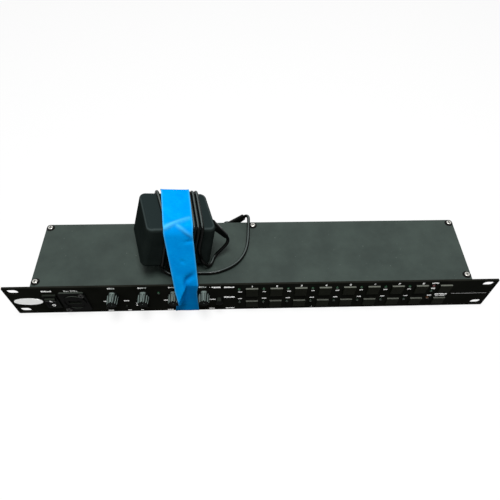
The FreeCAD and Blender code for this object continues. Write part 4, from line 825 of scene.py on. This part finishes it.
marks = bmesh.new()
face, length = rocker_face(UPPER_EDGE)
bar = bmesh.ops.create_cube(marks, size=1)["verts"]
bar_middle = Vector((0, BAR_PLACE * length, (PRINT_RISE - PRINT_SINK) / 2)) * MM
bar_size = Vector((BAR_WIDTH, BAR_SHARE * length, PRINT_RISE + PRINT_SINK)) * MM
bmesh.ops.transform(marks, verts=bar, matrix=(
    face @ Matrix.Translation(bar_middle) @ Matrix.Diagonal((*bar_size, 1))))
face, length = rocker_face(LOWER_EDGE)
hoops = []                      # the ring's four corners, each once round
for radius, rise in ((RING_INSIDE, -PRINT_SINK), (RING_OUTSIDE, -PRINT_SINK),
                     (RING_OUTSIDE, PRINT_RISE), (RING_INSIDE, PRINT_RISE)):
    angles = [math.tau * i / RING_STEPS for i in range(RING_STEPS)]
    hoops.append([marks.verts.new(face @ (MM * Vector((
        radius * math.cos(angle), RING_PLACE * length + radius * math.sin(angle), rise))))
        for angle in angles])
for a, b in zip(hoops, hoops[1:] + hoops[:1]):
    for i in range(RING_STEPS):
        k = (i + 1) % RING_STEPS
        marks.faces.new((a[i], a[k], b[k], b[i]))
bmesh.ops.recalc_face_normals(marks, faces=marks.faces)
mark_mesh = bpy.data.meshes.new("rocker_marks")
marks.to_mesh(mark_mesh)
marks.free()
mark_mesh.materials.append(PRINT_WHITE)
rocker_marks = bpy.data.objects.new("rocker_marks", mark_mesh)
bpy.context.scene.collection.objects.link(rocker_marks)
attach(rocker_marks, "rocker_body")
print("rocker marks:", len(mark_mesh.polygons), "faces")

# %% [markdown]
# ### Rings of painted shade under the cover screws
# Each cover screw gets a small near-black ring, painted shade for its dimple: a round section swept round a
# circle.
# The tree builds that ring once and sets it on five points.

# %% Lay the rings
RING_Z, RING_RADIUS, RING_SECTION = 20.05, 3.55, 0.9
RING_PLACES = [(x, y, RING_Z) for x, y in ((-211.1, 6.5), (211.1, 6.5), (-211.1, 75.45),
                                           (0.0, 75.45), (211.1, 75.45))]
tree, inputs = start_tree("dimple_shade_rings", ["Ring radius", "Section radius"])
path = add(tree, "GeometryNodeCurvePrimitiveCircle", inputs={
    "Resolution": 48, "Radius": metres(tree, inputs["Ring radius"])}).outputs["Curve"]
section = add(tree, "GeometryNodeCurvePrimitiveCircle", inputs={
    "Resolution": 12, "Radius": metres(tree, inputs["Section radius"])}).outputs["Curve"]
ring = add(tree, "GeometryNodeCurveToMesh", inputs={"Curve": path, "Profile Curve": section}).outputs["Mesh"]
smooth = add(tree, "GeometryNodeSetShadeSmooth", inputs={"Geometry": ring}).outputs["Geometry"]
rings = add(tree, "GeometryNodeInstanceOnPoints", inputs={
    "Points": inputs["Geometry"], "Instance": smooth}).outputs["Instances"]
end_tree(tree, rings, DIMPLE_SHADE)
screw_rings = grow("screw_rings", RING_PLACES, tree,
                   {"Ring radius": RING_RADIUS, "Section radius": RING_SECTION})
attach(screw_rings, "chassis")

# %% [markdown]
# ### Finishes for the CAD parts
# A CAD part whose shape is right stays, and only its material changes. One table gives each part its finish.

# %% Dress the CAD parts
FINISHES = {
    POWDER_COAT: ["chassis_tray", "top_cover"],
    PANEL_PAINT: ["front_panel"],
    SCREW_METAL: ["pan_head_screws", "panel_nuts", "adapter_prongs"],
    BADGE_WHITE: ["oval_badge"],
    SWITCH_PLASTIC: ["switch_housing", "power_rocker", "lamp_socket_insert", "tap_button"]
                    + ["page_button_%d" % i for i in range(1, 4)],
    BLACK_OXIDE: ["socket_screws"],
    SOCKET_METAL: ["lamp_socket", "data_socket"],
    KNOB_PLASTIC: ["pot_bodies", "key_switches", "dc_jack"] + ["knob_%d" % i for i in range(1, 5)],
    TURNED_METAL: ["pot_shaft_%d" % i for i in range(1, 5)],
    KEY_PLASTIC: ["key_%s_%d" % (row, i) for row in ("upper", "lower") for i in range(1, 10)],
    GREEN_EPOXY: ["green_leds"],
    STATUS_EPOXY: ["status_leds"],
    CIRCUIT_BOARD: ["front_board", "main_board"],
    BRASS: ["board_standoffs"],
    LAMINATIONS: ["adapter_transformer"],
    ADAPTER_PLASTIC: ["adapter_housing", "adapter_base"],
    LEAD_JACKET: ["dc_plug", "lead_relief", "dc_lead", "lead_tail", "lead_winding"],
    TAPE_PAPER: ["strapping_tape"],
}
for material, parts in FINISHES.items():
    for part in parts:
        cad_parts[part].material_slots[0].material = material
lead.data.materials.append(LEAD_JACKET)

# %% [markdown]
# ## Floor, backdrop and light
# The floor is a plain pale sheet that keeps a trace of the object's own shadow. Most of the light falls from one
# wide lamp overhead, as from a bright ceiling, and the world fills the shadows. Floor and world both look white
# to the camera and in reflections, but throw less light on the object than they seem to.

# %% Studio
FLOOR_SIZE, FLOOR_GAP = 6.0, 0.05 * MM
FLOOR_GLOW = 0.82                             # share of the seen floor that is lit evenly, without shadow
WORLD_FILL = 0.25
LAMP_PLACE, LAMP_SIZE, LAMP_WATTS = (0.05, -0.16, 1.5), (0.45, 0.8), 23.3

floor_mesh = bpy.data.meshes.new("floor")
half = FLOOR_SIZE / 2
floor_level = cad_low.z - FLOOR_GAP
floor_mesh.from_pydata([(-half, -half, floor_level), (half, -half, floor_level),
                        (half, half, floor_level), (-half, half, floor_level)], [], [(0, 1, 2, 3)])
floor = bpy.data.objects.new("floor", floor_mesh)
bpy.context.scene.collection.objects.link(floor)
paper = bpy.data.materials.new("white_floor_paper")
paper.use_nodes = True
tree = paper.node_tree
tree.nodes.clear()


def seen_rays(tree):
    """1 for the rays that show the backdrop itself: camera, glossy and transmission rays."""
    rays = add(tree, "ShaderNodeLightPath").outputs
    seen = add(tree, "ShaderNodeMath", {"operation": "MAXIMUM"},
               {0: rays["Is Camera Ray"], 1: rays["Is Glossy Ray"]}).outputs[0]
    return add(tree, "ShaderNodeMath", {"operation": "MAXIMUM"},
               {0: seen, 1: rays["Is Transmission Ray"]}).outputs[0]


grey = add(tree, "ShaderNodeBsdfDiffuse", inputs={"Color": linear("#606060")}).outputs[0]
white = add(tree, "ShaderNodeBsdfDiffuse", inputs={"Color": linear("#fbfbfb")}).outputs[0]
glow = add(tree, "ShaderNodeEmission", inputs={"Color": (1, 1, 1, 1), "Strength": 1.0}).outputs[0]
bright = add(tree, "ShaderNodeMixShader", inputs={0: FLOOR_GLOW, 1: white, 2: glow}).outputs[0]
mixed = add(tree, "ShaderNodeMixShader", inputs={0: seen_rays(tree), 1: grey, 2: bright}).outputs[0]
add(tree, "ShaderNodeOutputMaterial", inputs={"Surface": mixed})
floor_mesh.materials.append(paper)

world = bpy.data.worlds.new("studio")
bpy.context.scene.world = world
world.use_nodes = True
tree = world.node_tree
tree.nodes.clear()
fill = add(tree, "ShaderNodeBackground", inputs={"Color": (1, 1, 1, 1), "Strength": WORLD_FILL}).outputs[0]
white = add(tree, "ShaderNodeBackground", inputs={"Color": (1, 1, 1, 1), "Strength": 1.0}).outputs[0]
mixed = add(tree, "ShaderNodeMixShader", inputs={0: seen_rays(tree), 1: fill, 2: white}).outputs[0]
add(tree, "ShaderNodeOutputWorld", inputs={"Surface": mixed})

ceiling = bpy.data.lights.new("ceiling_light", "AREA")
ceiling.shape = "RECTANGLE"
ceiling.size, ceiling.size_y = LAMP_SIZE
ceiling.energy = LAMP_WATTS
ceiling_lamp = bpy.data.objects.new("ceiling_light", ceiling)
bpy.context.scene.collection.objects.link(ceiling_lamp)
ceiling_lamp.location = LAMP_PLACE
ceiling_lamp.rotation_mode = "QUATERNION"
ceiling_lamp.rotation_quaternion = (-Vector(LAMP_PLACE)).to_track_quat("-Z", "Y")

bpy.context.scene.view_settings.view_transform = "Standard"
